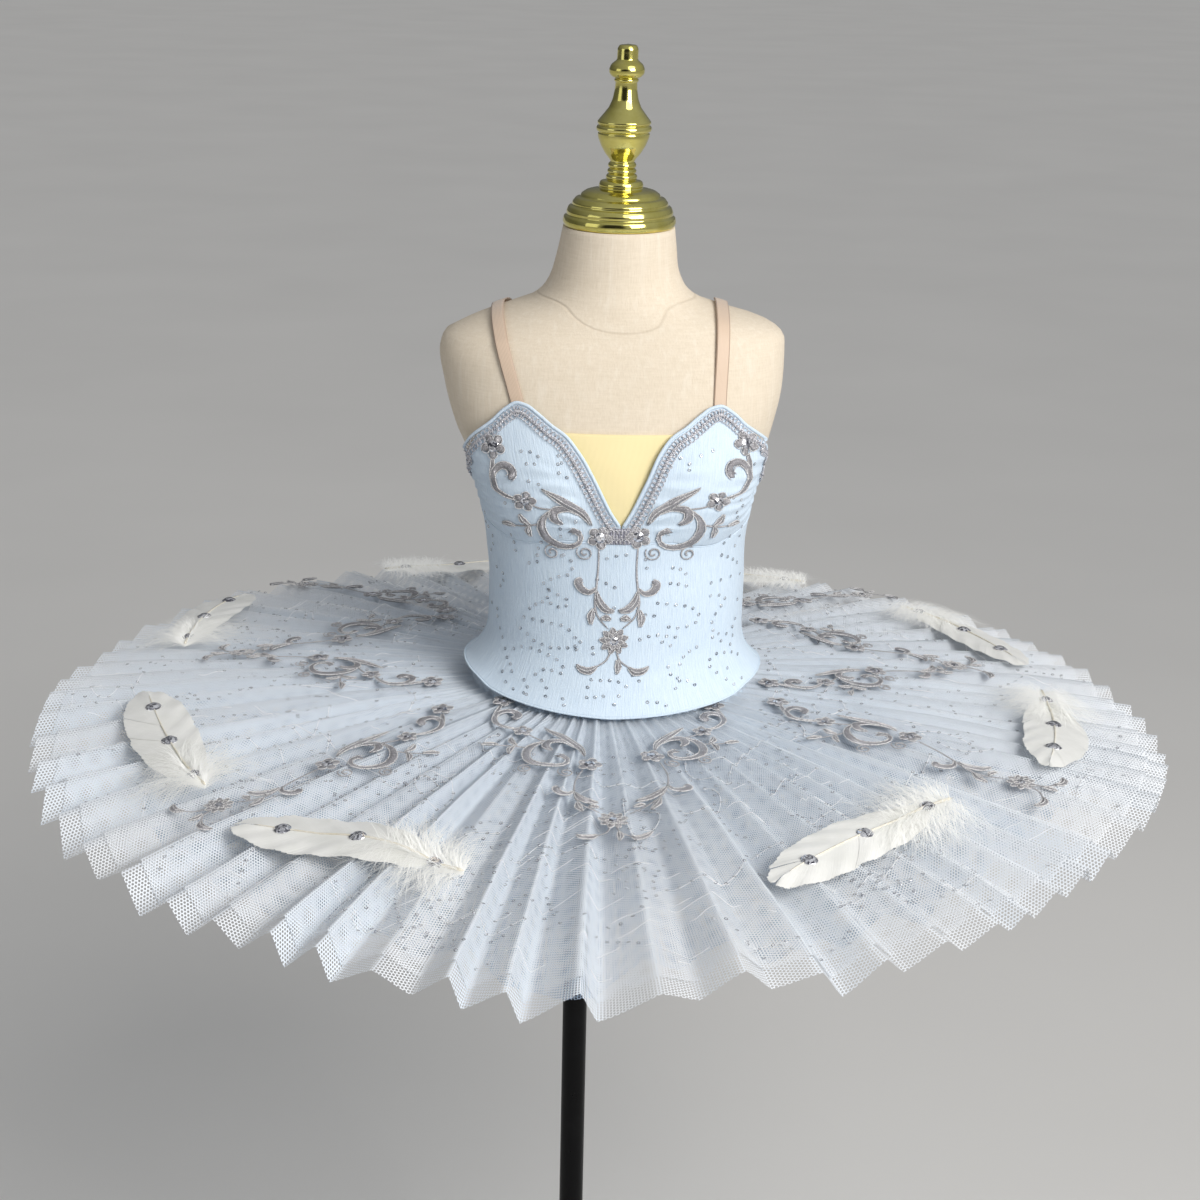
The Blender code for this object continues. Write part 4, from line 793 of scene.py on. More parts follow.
def bulge(azimuth, z):
    """How far the cups stand out: highest below the tips, none at the seams and the V."""
    turn = np.degrees(np.abs(azimuth))
    rise = np.clip((z - by_azimuth(BUST_SEAM, azimuth)) / CUP_RISE, 0.0, 1.0)
    sideways = np.sin(np.pi * np.clip((turn - CUP_START) / CUP_SPAN, 0.0, 1.0)) ** 1.2
    return CUP_BULGE * sideways * np.sin(np.pi * rise ** 0.8) ** 1.2


def basque_edge(azimuth):
    """Height of the basque's lower edge, which sags a little more at the front."""
    sag = BASQUE_SAG * (1 + np.clip(np.cos(azimuth), 0.0, 1.0) ** 2)
    return by_azimuth(BASQUE_EDGE, azimuth) - sag


def flare(azimuth, z):
    """How far the basque stands out from the hips towards its lower edge."""
    edge = by_azimuth(BASQUE_EDGE, azimuth)
    share = np.clip((FLARE_START - z) / (FLARE_START - edge), 0.0, 1.2)
    return FLARE_REACH * share ** 3 + LIP_LIFT * np.sin(azimuth) ** 2 * share ** 4


def creases(azimuth, z):
    """Gathers of the cups: soft ridges along short lines, which fade towards their ends."""
    turn = np.degrees(np.abs(azimuth))
    total = np.zeros(np.broadcast(azimuth, z).shape)
    for from_turn, from_z, to_turn, to_z, height, width in CUP_CREASES:
        along = (turn - from_turn) / (to_turn - from_turn)
        line = from_z + (to_z - from_z) * along + 0.0012 * np.sin(3.0 * along + from_z * 900)
        fade = np.clip(along * 6, 0, 1) * np.clip((1 - along) * 1.6, 0, 1)
        away = (z - line) / width
        total += height * fade * (np.exp(-away ** 2) - 0.45 * np.exp(-(away - 1.5) ** 2))
    return total


def bodice_point(azimuth, z, height=0.0):
    """Points at a height above the bodice's cloth, which follows the form."""
    azimuth, z = np.broadcast_arrays(np.asarray(azimuth, float), np.asarray(z, float))
    at_front = np.abs(azimuth) < np.pi / 2 + 0.02
    on_cup = np.clip((z - by_azimuth(BUST_SEAM, azimuth)) / CREASE_FADE_LOW, 0.0, 1.0) * at_front
    below_edge = np.clip((cup_edge_height(azimuth) - z) / CREASE_FADE_HIGH, 0.0, 1.0)
    away = CLOTH_INSIDE + CLOTH_WALL + bulge(azimuth, z) + flare(azimuth, z) + height
    return off_form(azimuth, z, away + creases(azimuth, z) * on_cup * below_edge)


def over_front(places, height=0.0):
    """Points over the bodice's front, from places across it and up from the stones' level."""
    z = STONE_LEVEL + places[..., 1]
    return bodice_point(azimuth_at(places[..., 0], z), z, height)


def linen():
    """Beige linen: crossed uneven threads with slubs, and the stitched seam at the neck's foot."""
    made = Surface("linen", {"Roughness": 0.92, "Specular IOR Level": 0.25})
    place = made.object_place()
    upright = made.noise(made.stretched(place, (1.0, 1.0, 0.10)), 900.0, 3.0, 0.6)
    level = made.noise(made.stretched(place, (0.12, 0.12, 1.0)), 700.0, 3.0, 0.6)
    broad = made.noise(place, 9.0, 2.0)
    slubs = made.noise(made.stretched(place, (1.0, 1.0, 0.04)), 260.0, 2.0).ranged(0.52, 0.72)
    around, height, _ = made.split(made.cloth_place())
    dip = 2.718 ** (-1.0 * (around * around) / NECK_SEAM_SPREAD)
    seam = 1.0 - abs(height - (NECK_SEAM_LEVEL - NECK_SEAM_DIP * dip)).ranged(0.0, NECK_SEAM_WIDTH)
    thread = upright * 0.55 + level * 0.45
    light = made.mix(thread.ranged(0.3, 0.7), looks().linen_shade, looks().linen)
    light = made.mix(slubs * 0.25, light, (0.92, 0.85, 0.74, 1.0))
    light = made.mix(broad.ranged(0.3, 0.7) * 0.18, light, (0.70, 0.59, 0.45, 1.0))
    made.set("Base Color", made.mix(seam * 0.32, light, (0.56, 0.46, 0.34, 1.0)))
    made.bump(thread - seam * 1.5, 0.0004, 0.7)
    return made


def wave_of(place, pitch):
    """A cosine wave along a place, of a pitch in metres."""
    return (place * (2 * math.pi / pitch)).cosine()


def crinkled(name, tint, shade):
    """Pale stretch cloth with fine upright crinkles and a faint knit between them."""
    made = Surface(name, {
        "Roughness": 0.72, "Sheen Weight": 0.25, "Sheen Roughness": 0.4, "Specular IOR Level": 0.3
    })
    place = made.cloth_place()
    crinkle = made.noise(made.stretched(place, (1.0, 0.08, 1.0)), 900.0, 3.0, 0.62)
    fine = made.noise(made.stretched(place, (1.0, 0.40, 1.0)), 1700.0, 2.0, 0.5)
    broad = made.noise(place, 14.0, 2.0)
    relief = crinkle * 0.75 + fine * 0.25
    light = made.mix(relief.ranged(0.30, 0.62), shade, tint)
    made.set("Base Color", made.mix(broad.ranged(0.35, 0.7) * 0.22, light, shade))
    made.bump(relief, 0.0008, 0.8)
    return made


def jersey(name, tint, shade):
    """Smooth knit: fine upright ribs and a soft colour change."""
    made = Surface(name, {"Roughness": 0.7, "Sheen Weight": 0.2, "Specular IOR Level": 0.3})
    place = made.cloth_place()
    across, up, _ = made.split(place)
    ribs = wave_of(across, 0.0009) * 0.25 + wave_of(up, 0.0007) * 0.15
    broad = made.noise(place, 30.0, 3.0)
    made.set("Base Color", made.mix(broad.ranged(0.3, 0.7) * 0.6, tint, shade))
    made.bump(ribs + broad * 1.5, 0.00025, 0.6)
    return made


def elastic():
    """Nude satin elastic: fine ribs along it and darker picot edges."""
    made = Surface("elastic", {"Roughness": 0.42, "Sheen Weight": 0.3, "Specular IOR Level": 0.45})
    along, across, _ = made.split(made.cloth_place())
    ribs, weft = wave_of(across, 0.0011), wave_of(along, 0.0008)
    edge = abs(across).ranged(0.0041, 0.0050)
    tint = made.mix(ribs.ranged(-1.0, 1.0) * 0.3, (0.74, 0.57, 0.43, 1.0), (0.66, 0.48, 0.35, 1.0))
    made.set("Base Color", made.mix(edge * 0.7, tint, (0.40, 0.27, 0.19, 1.0)))
    made.bump(ribs * 0.5 + weft * 0.3, 0.0002, 0.5)
    return made


def gold():
    """Greenish-gold plating, polished, with faint turning marks and dull spots."""
    made = Surface("gold", {"Metallic": 1.0})
    place = made.object_place()
    marks = made.noise(made.stretched(place, (0.2, 0.2, 9.0)), 260.0, 2.0)
    dull = made.noise(place, 60.0, 4.0, 0.65)
    tones = (0.82, 0.74, 0.25, 1.0), (0.66, 0.58, 0.14, 1.0)
    made.set("Base Color", made.mix(dull.ranged(0.35, 0.75), *tones))
    made.set("Roughness", dull.ranged(0.3, 0.8, 0.06, 0.17))
    made.bump(marks, 0.00006, 0.35)
    return made


def black_paint():
    """Black paint with a fine orange peel and slight wear."""
    made = Surface("black_paint", {
        "Coat Weight": 0.05, "Coat Roughness": 0.15, "Specular IOR Level": 0.10
    })
    place = made.object_place()
    peel = made.noise(place, 900.0, 2.0)
    wear = made.noise(place, 35.0, 5.0, 0.7)
    tones = (0.0025, 0.0025, 0.003, 1.0), (0.007, 0.007, 0.008, 1.0)
    made.set("Base Color", made.mix(wear.ranged(0.5, 0.9), *tones))
    made.set("Roughness", wear.ranged(0.3, 0.8, 0.26, 0.42))
    made.bump(peel, 0.0001, 0.25)
    return made


def silver_thread(name, tint, shade, pitch=0.0009, metal=0.25):
    """Metallic embroidery thread: close stitches across each stroke, with painted bright glints.

    Where the mesh's share of painted glints is high, as on the corded outlines, painted bright
    glints and dark specks alternate.
    """
    made = Surface(name, {"Roughness": 0.34, "Metallic": metal, "Specular IOR Level": 0.6})
    along, across, _ = made.split(made.cloth_place())
    stitch = wave_of(along + across * 0.55, pitch)
    speck = made.noise(made.object_place(), 1300.0, 1.0)
    tone = made.noise(made.object_place(), 130.0, 2.0).ranged(0.35, 0.68)
    light = made.mix(stitch.ranged(-1.0, 1.0), shade, tint)
    light = made.mix(tone * 0.5, light, shade)
    # Painted glints: bright specks alternating with dark ones, for the corded outlines
    edge = made.mix(speck.ranged(0.32, 0.46), shade, PAINTED_SILVER_GLINT)
    light = made.mix(made.attribute("painted_glints"), light, edge)
    # Painted glints scattered as bright specks over all the thread
    made.set("Base Color", made.mix(speck.ranged(0.60, 0.70) * 0.8, light, PAINTED_SILVER_GLINT))
    made.bump(stitch, 0.00022, 0.8)
    return made


def crystal():
    """Cut glass on foil: each facet painted bright or dark, a painted reflection of the room."""
    made = Surface("crystal", {
        "Roughness": 0.06, "Metallic": 0.75, "Coat Weight": 1.0, "Coat Roughness": 0.02
    })
    place = made.object_place()
    cells = made.add(
        "ShaderNodeTexVoronoi", {"feature": "F1"}, Vector=place, Scale=620.0, output="Color"
    )
    # Painted reflection: each facet gets a bright or dark colour at random
    bright = made.split(cells)[0].ranged(0.15, 0.75)
    made.set("Base Color", made.mix(bright, (0.10, 0.10, 0.13, 1.0), (0.93, 0.93, 0.97, 1.0)))
    return made


def sequin(name, tint, shade):
    """Shiny plastic rings, each with its own tone, darker at the rim."""
    made = Surface(name, {"Roughness": 0.2, "Metallic": 0.5, "Coat Weight": 0.6})
    tone = made.noise(made.object_place(), 300.0, 1.0).ranged(0.38, 0.56)
    light = made.mix(tone, shade, tint)
    rim = made.attribute("rim").ranged(0.4, 1.0) * 0.85
    made.set("Base Color", made.mix(rim, light, (0.22, 0.24, 0.28, 1.0)))
    return made


def torso():
    """The smooth limbless torso: rings of the form, closed at the bottom and at the neck."""
    columns, rows = 128, 130
    levels = np.linspace(FORM_BOTTOM + 0.0008, NECK_TOP, rows)
    levels = np.concatenate([np.full(3, FORM_BOTTOM), levels, np.full(3, NECK_TOP)])[:, None]
    share = np.concatenate([(0.0, 0.4, 0.8), np.ones(rows), (0.96, 0.5, 0.0)])
    turn = even_turns(columns)
    points = form_skin(turn, levels)
    middle = points.mean(axis=1, keepdims=True)
    points = middle + (points - middle) * share[:, None, None]
    uv = np.stack(np.broadcast_arrays(wrapped(turn), levels), axis=-1)
    faces = grid_faces(len(levels), columns, True)
    merge_poles(new_piece("torso", points, faces, linen(), "linen", ["form_torso"], uv))


def turned(name, profile, columns, place, finish, slot, node, lean=0.0):
    """A turned solid: a profile of radius and height carried round an upright axis."""
    turn = even_turns(columns)
    radius, height = profile[:, :1], profile[:, 1:]
    x = place[0] + lean * height + radius * np.sin(turn)
    y = place[1] - radius * np.cos(turn)
    points = np.stack(np.broadcast_arrays(x, y, place[2] + height), axis=-1)
    faces = grid_faces(len(profile), columns, True)
    merge_poles(new_piece(name, points, faces, finish, slot, [node]))


def rounded(corners, radius, samples=4):
    """A profile whose inner corners are rounded: each is a short parabola between two sides."""
    found = [corners[:1]]
    t = np.linspace(0.0, 1.0, samples)[:, None]
    for before, here, after in zip(corners[:-2], corners[1:-1], corners[2:]):
        into, out = before - here, after - here
        reach = min(radius, 0.45 * np.linalg.norm(into), 0.45 * np.linalg.norm(out))
        start, end = here + unit(into) * reach, here + unit(out) * reach
        found.append((1 - t) ** 2 * start + 2 * t * (1 - t) * here + t ** 2 * end)
    return np.vstack(found + [corners[-1:]])


def neck_cap():
    """The cap's stepped rings and turned finial, with every corner softened."""
    profile = rounded(np.vstack([(0.0, 0.0), CAP_PROFILE]), 0.0011)
    turned("neck_cap", profile, 72, CAP_PLACE, gold(), "gold_cap", "form_neck_cap", CAP_LEAN)


def stand():
    """The pole and the round base with its hub."""
    paint = black_paint()
    floor = (0.0, 0.0, 0.0)
    base = np.array([
        (0.0, 0.0), (BASE_RADIUS - 0.001, 0.0), (BASE_RADIUS, 0.001), (BASE_RADIUS, 0.0070),
        (BASE_RADIUS - 0.003, 0.0090), (0.024, 0.0140), (0.020, 0.0170), (0.020, HUB_TOP - 0.002),
        (0.018, HUB_TOP), (0.0, HUB_TOP),
    ])
    turned("base", rounded(base, 0.0015), 96, floor, paint, "black_stand", "stand_base")
    low, high = HUB_TOP + 0.0003, FORM_BOTTOM - 0.0003
    levels = np.concatenate([[low], np.linspace(low, high, 12), [high]])
    radii = np.concatenate([[0.0], np.full(12, POLE_RADIUS), [0.0]])
    pole = np.column_stack([radii, levels])
    turned("pole", pole, 48, floor, paint, "black_stand", "stand_pole")


def cloth_panel(name, azimuths, low, high, rows, finish, nodes):
    """A cloth between two edges: a grid of azimuths and of shares of the height between them."""
    share = np.linspace(0.0, 1.0, rows)[:, None]
    z = low * (1 - share) + high * share
    turn = np.broadcast_to(azimuths, z.shape)
    uv = np.stack([turn * MEAN_RADIUS, z], axis=-1)
    faces = grid_faces(rows, len(azimuths))
    made = new_piece(name, bodice_point(turn, z), faces, finish, "bodice_cloth", nodes, uv)
    thicken(made, PANEL_WALL)
    return made


def bodice_panels():
    """The front panel and the back, a hair apart at the side seams."""
    cloth = crinkled("bodice_cloth", looks().cloth, looks().cloth_shade)
    half = np.radians(SIDE_AZIMUTH) - SEAM_GAP
    turn = np.linspace(-half, half, 150)
    low, high = basque_edge(turn), by_azimuth(BUST_SEAM, turn)
    made = cloth_panel("front_panel", turn, low, high, 70, cloth, ["bodice_front"])
    turn = np.linspace(np.pi - half, np.pi + half, 110)
    low, high = basque_edge(turn), by_azimuth(BACK_EDGE, turn)
    made = cloth_panel("back_panel", turn, low, high, 60, cloth, ["bodice_back"])
    seams(cloth)


def seams(cloth):
    """Raised seams along the bust and the sides, and rolled edges at the back and the basque.

    Each line has its azimuths, heights, lift off the cloth, radius, sides and flatness.
    """
    bust = np.linspace(-np.pi / 2, np.pi / 2, 240)
    back = np.linspace(np.pi / 2, 3 * np.pi / 2, 160)
    basque = np.linspace(-np.pi, np.pi, 320)
    side_z = np.linspace(*SIDE_SEAM_HEIGHTS, 90)
    lines = [
        (bust, by_azimuth(BUST_SEAM, bust), 0.0001, 0.0007, 6, 0.6),
        (np.full(90, -np.pi / 2), side_z, 0.0001, 0.0006, 6, 0.6),
        (np.full(90, np.pi / 2), side_z, 0.0001, 0.0006, 6, 0.6),
        (back, by_azimuth(BACK_EDGE, back), -0.0004, 0.0012, 8, 1.0),
        (basque, basque_edge(basque), -0.0004, 0.0008, 8, 1.0),
    ]
    parts = [
        cords(bodice_point(turn, z, lift), form_normal(turn, z), *shape)
        for turn, z, lift, *shape in lines
    ]
    loose_piece("bodice_seams", parts, cloth, "bodice_cloth")


def cups():
    """Two gathered cups above the bust seam, from the V to the side seams."""
    cloth = crinkled("cup_cloth", looks().cloth, looks().cloth_shade)
    share = np.linspace(0.0, 1.0, 110) ** 1.15
    for side, name in ((-1, "cup_left"), (1, "cup_right")):
        start = np.radians(V_AZIMUTH) + side * 0.004
        seam = side * (np.pi / 2 - SEAM_GAP)
        turn = (start + (seam - start) * share)[::side]
        low = by_azimuth(BUST_SEAM, turn) + 0.0003
        made = cloth_panel("gathered_" + name, turn, low, cup_edge_height(turn), 60, cloth, [name])


def darker(tint, share):
    """A colour with a share of its light."""
    return [share * part for part in tint[:3]] + [1.0]


def insert():
    """The yellow piece behind the V: slightly slack between the cups."""
    rows, columns = 36, 44
    z = np.linspace(INSERT_BOTTOM, INSERT_TOP, rows)[:, None]
    across = np.linspace(-1.0, 1.0, columns)
    reach = curve(z, INSERT_EDGE[:, ::-1]) + INSERT_TUCK
    x, z = np.broadcast_arrays(V_OFFSET + across * reach, z)
    away = 0.0014 + 0.0003 * np.sin(x * 90 + z * 60) * (1 - across ** 2)
    points = off_form(azimuth_at(x, z), z, away)
    finish = jersey("insert_jersey", looks().insert, darker(looks().insert, 0.93))
    uv = np.stack([x, z], axis=-1)
    faces = grid_faces(rows, columns)
    made = new_piece("insert", points, faces, finish, "insert_jersey", ["modesty_insert"], uv)
    thicken(made, THIN_WALL)


def edge_path(side, width, samples, height):
    """A line along a cup's edge, moved into the cup by a width, with the outward directions.

    The edge is sampled evenly by its length; the direction into the cup is square to it.
    """
    middle = np.radians(V_AZIMUTH)
    turn = middle + (side * np.pi / 2 - middle) * np.linspace(0.004, 1.0, 600)
    length = run_of(bodice_point(turn, cup_edge_height(turn)))
    turn = np.interp(np.linspace(0.0, length[-1], samples), length, turn)
    z = cup_edge_height(turn)
    edge = bodice_point(turn, z)
    out = form_normal(turn, z)
    into = unit(np.cross(out, np.gradient(edge, axis=0)))
    smooth = averaged(into * np.sign(-into[:, 2:]), 12)
    place = edge + unit(smooth - out * np.sum(smooth * out, axis=1)[:, None]) * width
    level = place[:, 2]
    x = place[:, 0] - TORSO_X - form_row(level)[2]
    at_side = np.abs(turn) > np.radians(60)
    around = np.where(at_side, turn, azimuth_at(x, level))
    return bodice_point(around, level, height), form_normal(around, level)


def neck_trims():
    """Along each cup's edge: a blue binding, and inside it a silver braid of looped cord.

    A loop line is a prolate cycloid: a run along the edge plus a turn round each loop's
    middle. Two such lines lie beside a core of two crossing waves.
    """
    binding = crinkled("binding_cloth", looks().cloth, looks().cloth_shade)
    braid = silver_thread("braid", (0.74, 0.73, 0.83, 1.0), (0.07, 0.07, 0.12, 1.0), 0.0012)
    turn = np.linspace(0.0, 2 * np.pi * BRAID_LOOPS, BRAID_SAMPLES)
    for side, name in ((-1, "left"), (1, "right")):
        rolled, out = edge_path(side, 0.0009, 240, 0.0002)
        cord = cords(rolled, out, 0.00135, 8, 0.85)
        loose_piece("binding_" + name, [cord], binding, "bodice_cloth")
        parts = []
        for row, (from_edge, swing) in enumerate(BRAID_LOOP_ROWS):
            phase = turn + row * 1.3
            shift = 1.15 * np.sin(phase) / BRAID_LOOPS / 2 / 1.6
            lift = 0.0008 + 0.0003 * np.cos(phase)
            path, out = braid_path(side, from_edge - swing * np.cos(phase), shift, lift)
            parts.append(cords(path, out, 0.00036, 4))
        for row in range(2):
            phase = turn + row * np.pi
            width, lift = 0.0073 + 0.00085 * np.sin(phase), 0.0011 + 0.0003 * np.cos(phase)
            path, out = braid_path(side, width, 0.0, lift)
            parts.append(cords(path[::2], out[::2], 0.00052, 5))
        points, faces = joined(parts)
        run = [np.arange(len(p)) // s * 0.00022 for (p, _), s in zip(parts, (4, 4, 5, 5))]
        run = np.concatenate(run)
        uv = np.stack([run, np.zeros_like(run)], axis=1)
        values = {"painted_glints": np.full(len(points), BRAID_PAINTED_GLINTS)}
        nodes = ["neck_trim_" + name]
        merge_poles(new_piece("braid_" + name, points, faces, braid, "braid", nodes, uv, values))
    braid_ends(braid)


def braid_ends(finish):
    """The braid's ends, which cross below the V between the two stones, on a flat backing."""
    x = np.linspace(*BRAID_END_REACH, 150)
    turn = (x - x[0]) / 0.0031 * 2 * np.pi
    sag = 0.0016 * ((x - 0.0025) / 0.015) ** 2
    parts = []
    for level, swing, phase in BRAID_END_ROWS:
        across = x + 0.0011 * np.sin(turn + phase)
        places = np.stack([across, level + sag + swing * np.cos(turn + phase)], axis=1)
        path = over_front(places, 0.0012 + 0.0003 * np.sin(turn + phase))
        up = unit(over_front(places, 0.003) - path)
        parts.append(cords(path, up, 0.00050, 4))
    across = np.linspace(*BRAID_END_REACH, 16)
    level = np.linspace(-0.0100, 0.0030, 7)[:, None]
    backing = over_front(np.stack(np.broadcast_arrays(across, level), axis=-1), 0.0009)
    parts.append((backing.reshape(-1, 3), grid_faces(7, 16)))
    points, faces = joined(parts)
    uv = np.stack([points[:, 0], np.zeros(len(points))], axis=1)
    corded = np.arange(len(points)) < len(points) - backing.size // 3
    values = {"painted_glints": np.where(corded, BRAID_PAINTED_GLINTS, 0.0)}
    merge_poles(new_piece("braid_join", points, faces, finish, "braid", (), uv, values))


def braid_path(side, width, shift, height):
    """A line at changing widths inside a cup's edge, shifted along it by shares of its length."""
    base, _ = edge_path(side, 0.0, BRAID_SAMPLES, 0.0)
    inner, _ = edge_path(side, BRAID_REACH, BRAID_SAMPLES, 0.0)
    _, out = edge_path(side, BRAID_REACH / 2, BRAID_SAMPLES, 0.0)
    at = np.linspace(0.0, 1.0, BRAID_SAMPLES)
    moved = np.clip(at + shift, 0.0, 1.0)
    near, far, lift = [between(moved, at, rows) for rows in (base, inner, out)]
    share = (width / BRAID_REACH)[:, None]
    return near * (1 - share) + far * share + lift * (height + 0.0004)[:, None], lift


def strap_path(tip, shoulder, back, samples):
    """A strap's middle on the form, from the cup's tip over the shoulder to the back."""
    upper = FORM_TABLE[:, 0] > SHOULDER_LOW
    widths, heights = FORM_TABLE[upper, 1][::-1], FORM_TABLE[upper, 0][::-1]
    crest = float(np.interp(abs(shoulder), widths, heights))
    top, low = CUP_EDGE[:, 1].max() - STRAP_TUCK, BACK_EDGE[-1, 1] - STRAP_TUCK
    front = 200
    rise = np.sin(np.linspace(0.0, np.pi / 2, front))
    fall = rise[::-1][1:]
    z = np.concatenate([top + (crest - top) * rise, low + (crest - low) * fall])
    x = np.concatenate([tip + (shoulder - tip) * rise, back + (shoulder - back) * fall ** 2])
    middle = form_row(z)[2]
    share = np.abs(z - z[0]) / (crest - z[0])
    aligned = x + middle[0] * (1 - share) + middle[front - 1] * share - middle
    turn = azimuth_at(np.where(np.arange(len(x)) < front, aligned, x), z)
    turn[front:] = np.pi - turn[front:]
    path, out = form_skin(turn, z), form_normal(turn, z)
    length = run_of(path)
    wanted = np.linspace(0.0, length[-1], samples)
    return between(wanted, length, path), unit(between(wanted, length, out)), wanted


def straps():
    """Flat elastic bands, a little slack over the shoulders, with a slightly raised middle."""
    finish = elastic()
    rows, columns = 160, 9
    across = np.linspace(-STRAP_WIDTH / 2, STRAP_WIDTH / 2, columns)
    crown = 0.0002 * (1 - (across / across[-1]) ** 2)
    for name, (tip, shoulder, back) in STRAPS.items():
        path, out, run = strap_path(tip, shoulder, back, rows)
        out = unit(averaged(out, 6))
        side = unit(np.cross(np.gradient(path, axis=0), out))
        slack = 0.0013 + 0.0016 * np.clip((path[:, 2] - 1.030) / 0.03, 0.0, 1.0)
        points = path[:, None] + side[:, None] * across[None, :, None]
        points = points + out[:, None] * (slack[:, None, None] + crown[None, :, None])
        uv = np.stack(np.broadcast_arrays(run[:, None], across), axis=-1)
        faces = grid_faces(rows, columns)
        made = new_piece("elastic_" + name, points, faces, finish, "elastic", [name], uv)
        thicken(made, THIN_WALL)


def brief():
    """The brief: a band round the hips with two leg openings and a gusset beside the pole.

    The band's columns run from the waist to the leg's edge, as the solid's do, and the
    gusset's columns pass below the form from the front to the back.
    """
    cloth = jersey("brief_jersey", looks().cloth, looks().cloth_shade)
    narrow, wide, rows, below = 24, 120, 34, 12
    gap = np.radians(LEG_EDGE[0, 0])
    gusset = np.radians(np.linspace(*GUSSET_AZIMUTHS, narrow))
    right = np.linspace(gusset[-1] + gap, np.pi - gusset[-1] - gap, wide)
    left = np.linspace(np.pi - gusset[0] + gap, 2 * np.pi + gusset[0] - gap, wide)
    turn = np.concatenate([gusset, right, (np.pi - gusset)[::-1], left])
    edge = np.full(len(turn), FORM_BOTTOM)
    for start, limit in ((narrow, gusset[-1]), (2 * narrow + wide, -gusset[0])):
        leg = slice(start, start + wide)
        around = np.abs(wrapped(turn[leg]))
        folded = np.minimum(around, np.pi - around)
        edge[leg] = curve((folded - limit) * LEG_EDGE[-1, 0] / (np.pi / 2 - limit), LEG_EDGE)
    share = np.linspace(0.0, 1.0, rows)[:, None] ** 0.8
    z = edge * share + BRIEF_TOP * (1 - share)
    around = np.broadcast_to(turn, z.shape)
    ease = 0.0010 * np.clip((0.735 - z) / 0.03, 0.0, 1.0)
    wrinkle = 0.0004 * np.sin(around * 46 + z * 70) * np.clip((0.77 - z) / 0.02, 0, 1)
    points = off_form(around, z, BRIEF_EASE + ease + wrinkle)
    under_form = z <= FORM_BOTTOM + 0.0005
    points[..., 2] = np.where(under_form, FORM_BOTTOM - BRIEF_EASE, points[..., 2])
    uv = np.stack([around * MEAN_RADIUS, z], axis=-1)
    front, rear = points[-1, :narrow], points[-1, narrow + wide:2 * narrow + wide][::-1]
    share = np.linspace(0.0, 1.0, below)[:, None, None]
    under = front * (1 - share) + rear * share
    points, faces = joined([
        (points.reshape(-1, 3), grid_faces(rows, len(turn), True)[:, ::-1]),
        (under.reshape(-1, 3), grid_faces(below, narrow)[:, ::-1]),
    ])
    spots = np.vstack([uv.reshape(-1, 2), under[..., :2].reshape(-1, 2)])
    made = new_piece("brief_band", points, faces, cloth, "brief_jersey", ["brief"], spots)
    merge_poles(made)
    thicken(made, PANEL_WALL)


def seam_radius(azimuth, half_width, half_depth):
    """Distance from the skirt's centre to an ellipse round the torso's axis."""
    across, along = np.sin(azimuth) / half_width, np.cos(azimuth) / half_depth
    shift = (TORSO_X - SKIRT_X) / half_width
    square = across ** 2 + along ** 2
    return (across * shift + np.sqrt((across * shift) ** 2 - square * (shift ** 2 - 1))) / square


def hem_height(azimuth):
    """Middle height of the hem, which droops at the front and lifts at the sides."""
    turns = np.concatenate([HEM_LINE[:, 0] + whole for whole in (-360.0, 0.0, 360.0)])
    table = np.column_stack([turns, np.tile(HEM_LINE[:, 1], 3)])
    return curve(np.degrees(wrapped(azimuth)), table)


def plate_height(azimuth, radius):
    """The top layer's middle height: a shallow cone with a slight dome."""
    inside = seam_radius(azimuth, SEAM_HALF_WIDTH, SEAM_HALF_DEPTH)
    share = (radius - inside) / (HEM_RADIUS - inside)
    dome = PLATE_RISE * np.sin(np.pi * np.clip(share, 0.0, 1.0))
    level = SEAM_HEIGHT + 0.0030 * np.sin(azimuth) ** 2
    return level * (1 - share) + hem_height(azimuth) * share + dome


def pleat_depth(radius):
    """Height of a fold above the layer's middle, shrinking to gathers at the seam."""
    share = np.clip((radius - SEAM_HALF_WIDTH) / (HEM_RADIUS - SEAM_HALF_WIDTH), 0.0, 1.05)
    return GATHER_DEPTH + (PLEAT_DEPTH - GATHER_DEPTH) * share


def folds():
    """Azimuths of the lower and upper folds in turn, and the shares of their depth."""
    front = len(FRONT_PLEATS)
    start, end = FRONT_PLEATS[-1, 0], FRONT_PLEATS[0, 0] + 360.0
    count = np.arange(PLEATS - front + 1)
    spaces = 1.0 + 0.20 * np.sin(1.9 * count) + 0.12 * np.sin(4.3 * count)
    lower = start + (end - start) * np.cumsum(spaces)[:-1] / spaces.sum()
    after = np.append(lower[1:], end)
    upper = lower + (after - lower) * (0.60 + 0.09 * np.sin(2.3 * count[:-1]))
    deep = np.clip(0.55 + 0.45 * (after - lower) / USUAL_PITCH, 0.65, 1.05)
    rest = np.stack([lower, upper], axis=1).reshape(-1)
    azimuths = np.concatenate([FRONT_PLEATS[:, 0::2].reshape(-1), rest])
    middle = hem_height(np.radians(FRONT_PLEATS[:, 0::2])) + LAYER_STEP
    offsets = (FRONT_PLEATS[:, 1::2] + LAYER_STEP - middle) / PLEAT_DEPTH
    share = np.concatenate([offsets.reshape(-1), np.stack([-deep, deep], axis=1).reshape(-1)])
    return np.radians(azimuths), share


def along_folds(values, steps, soft=0.0, period=0.0):
    """Values between neighbouring folds, several to a face: the slope eases off at each fold."""
    after = np.append(values[1:], values[0] + period)
    t = np.arange(steps) / steps
    t = t - soft * np.sin(2 * np.pi * t) / (2 * np.pi)
    return (values[:, None] * (1 - t) + after[:, None] * t).reshape(-1)


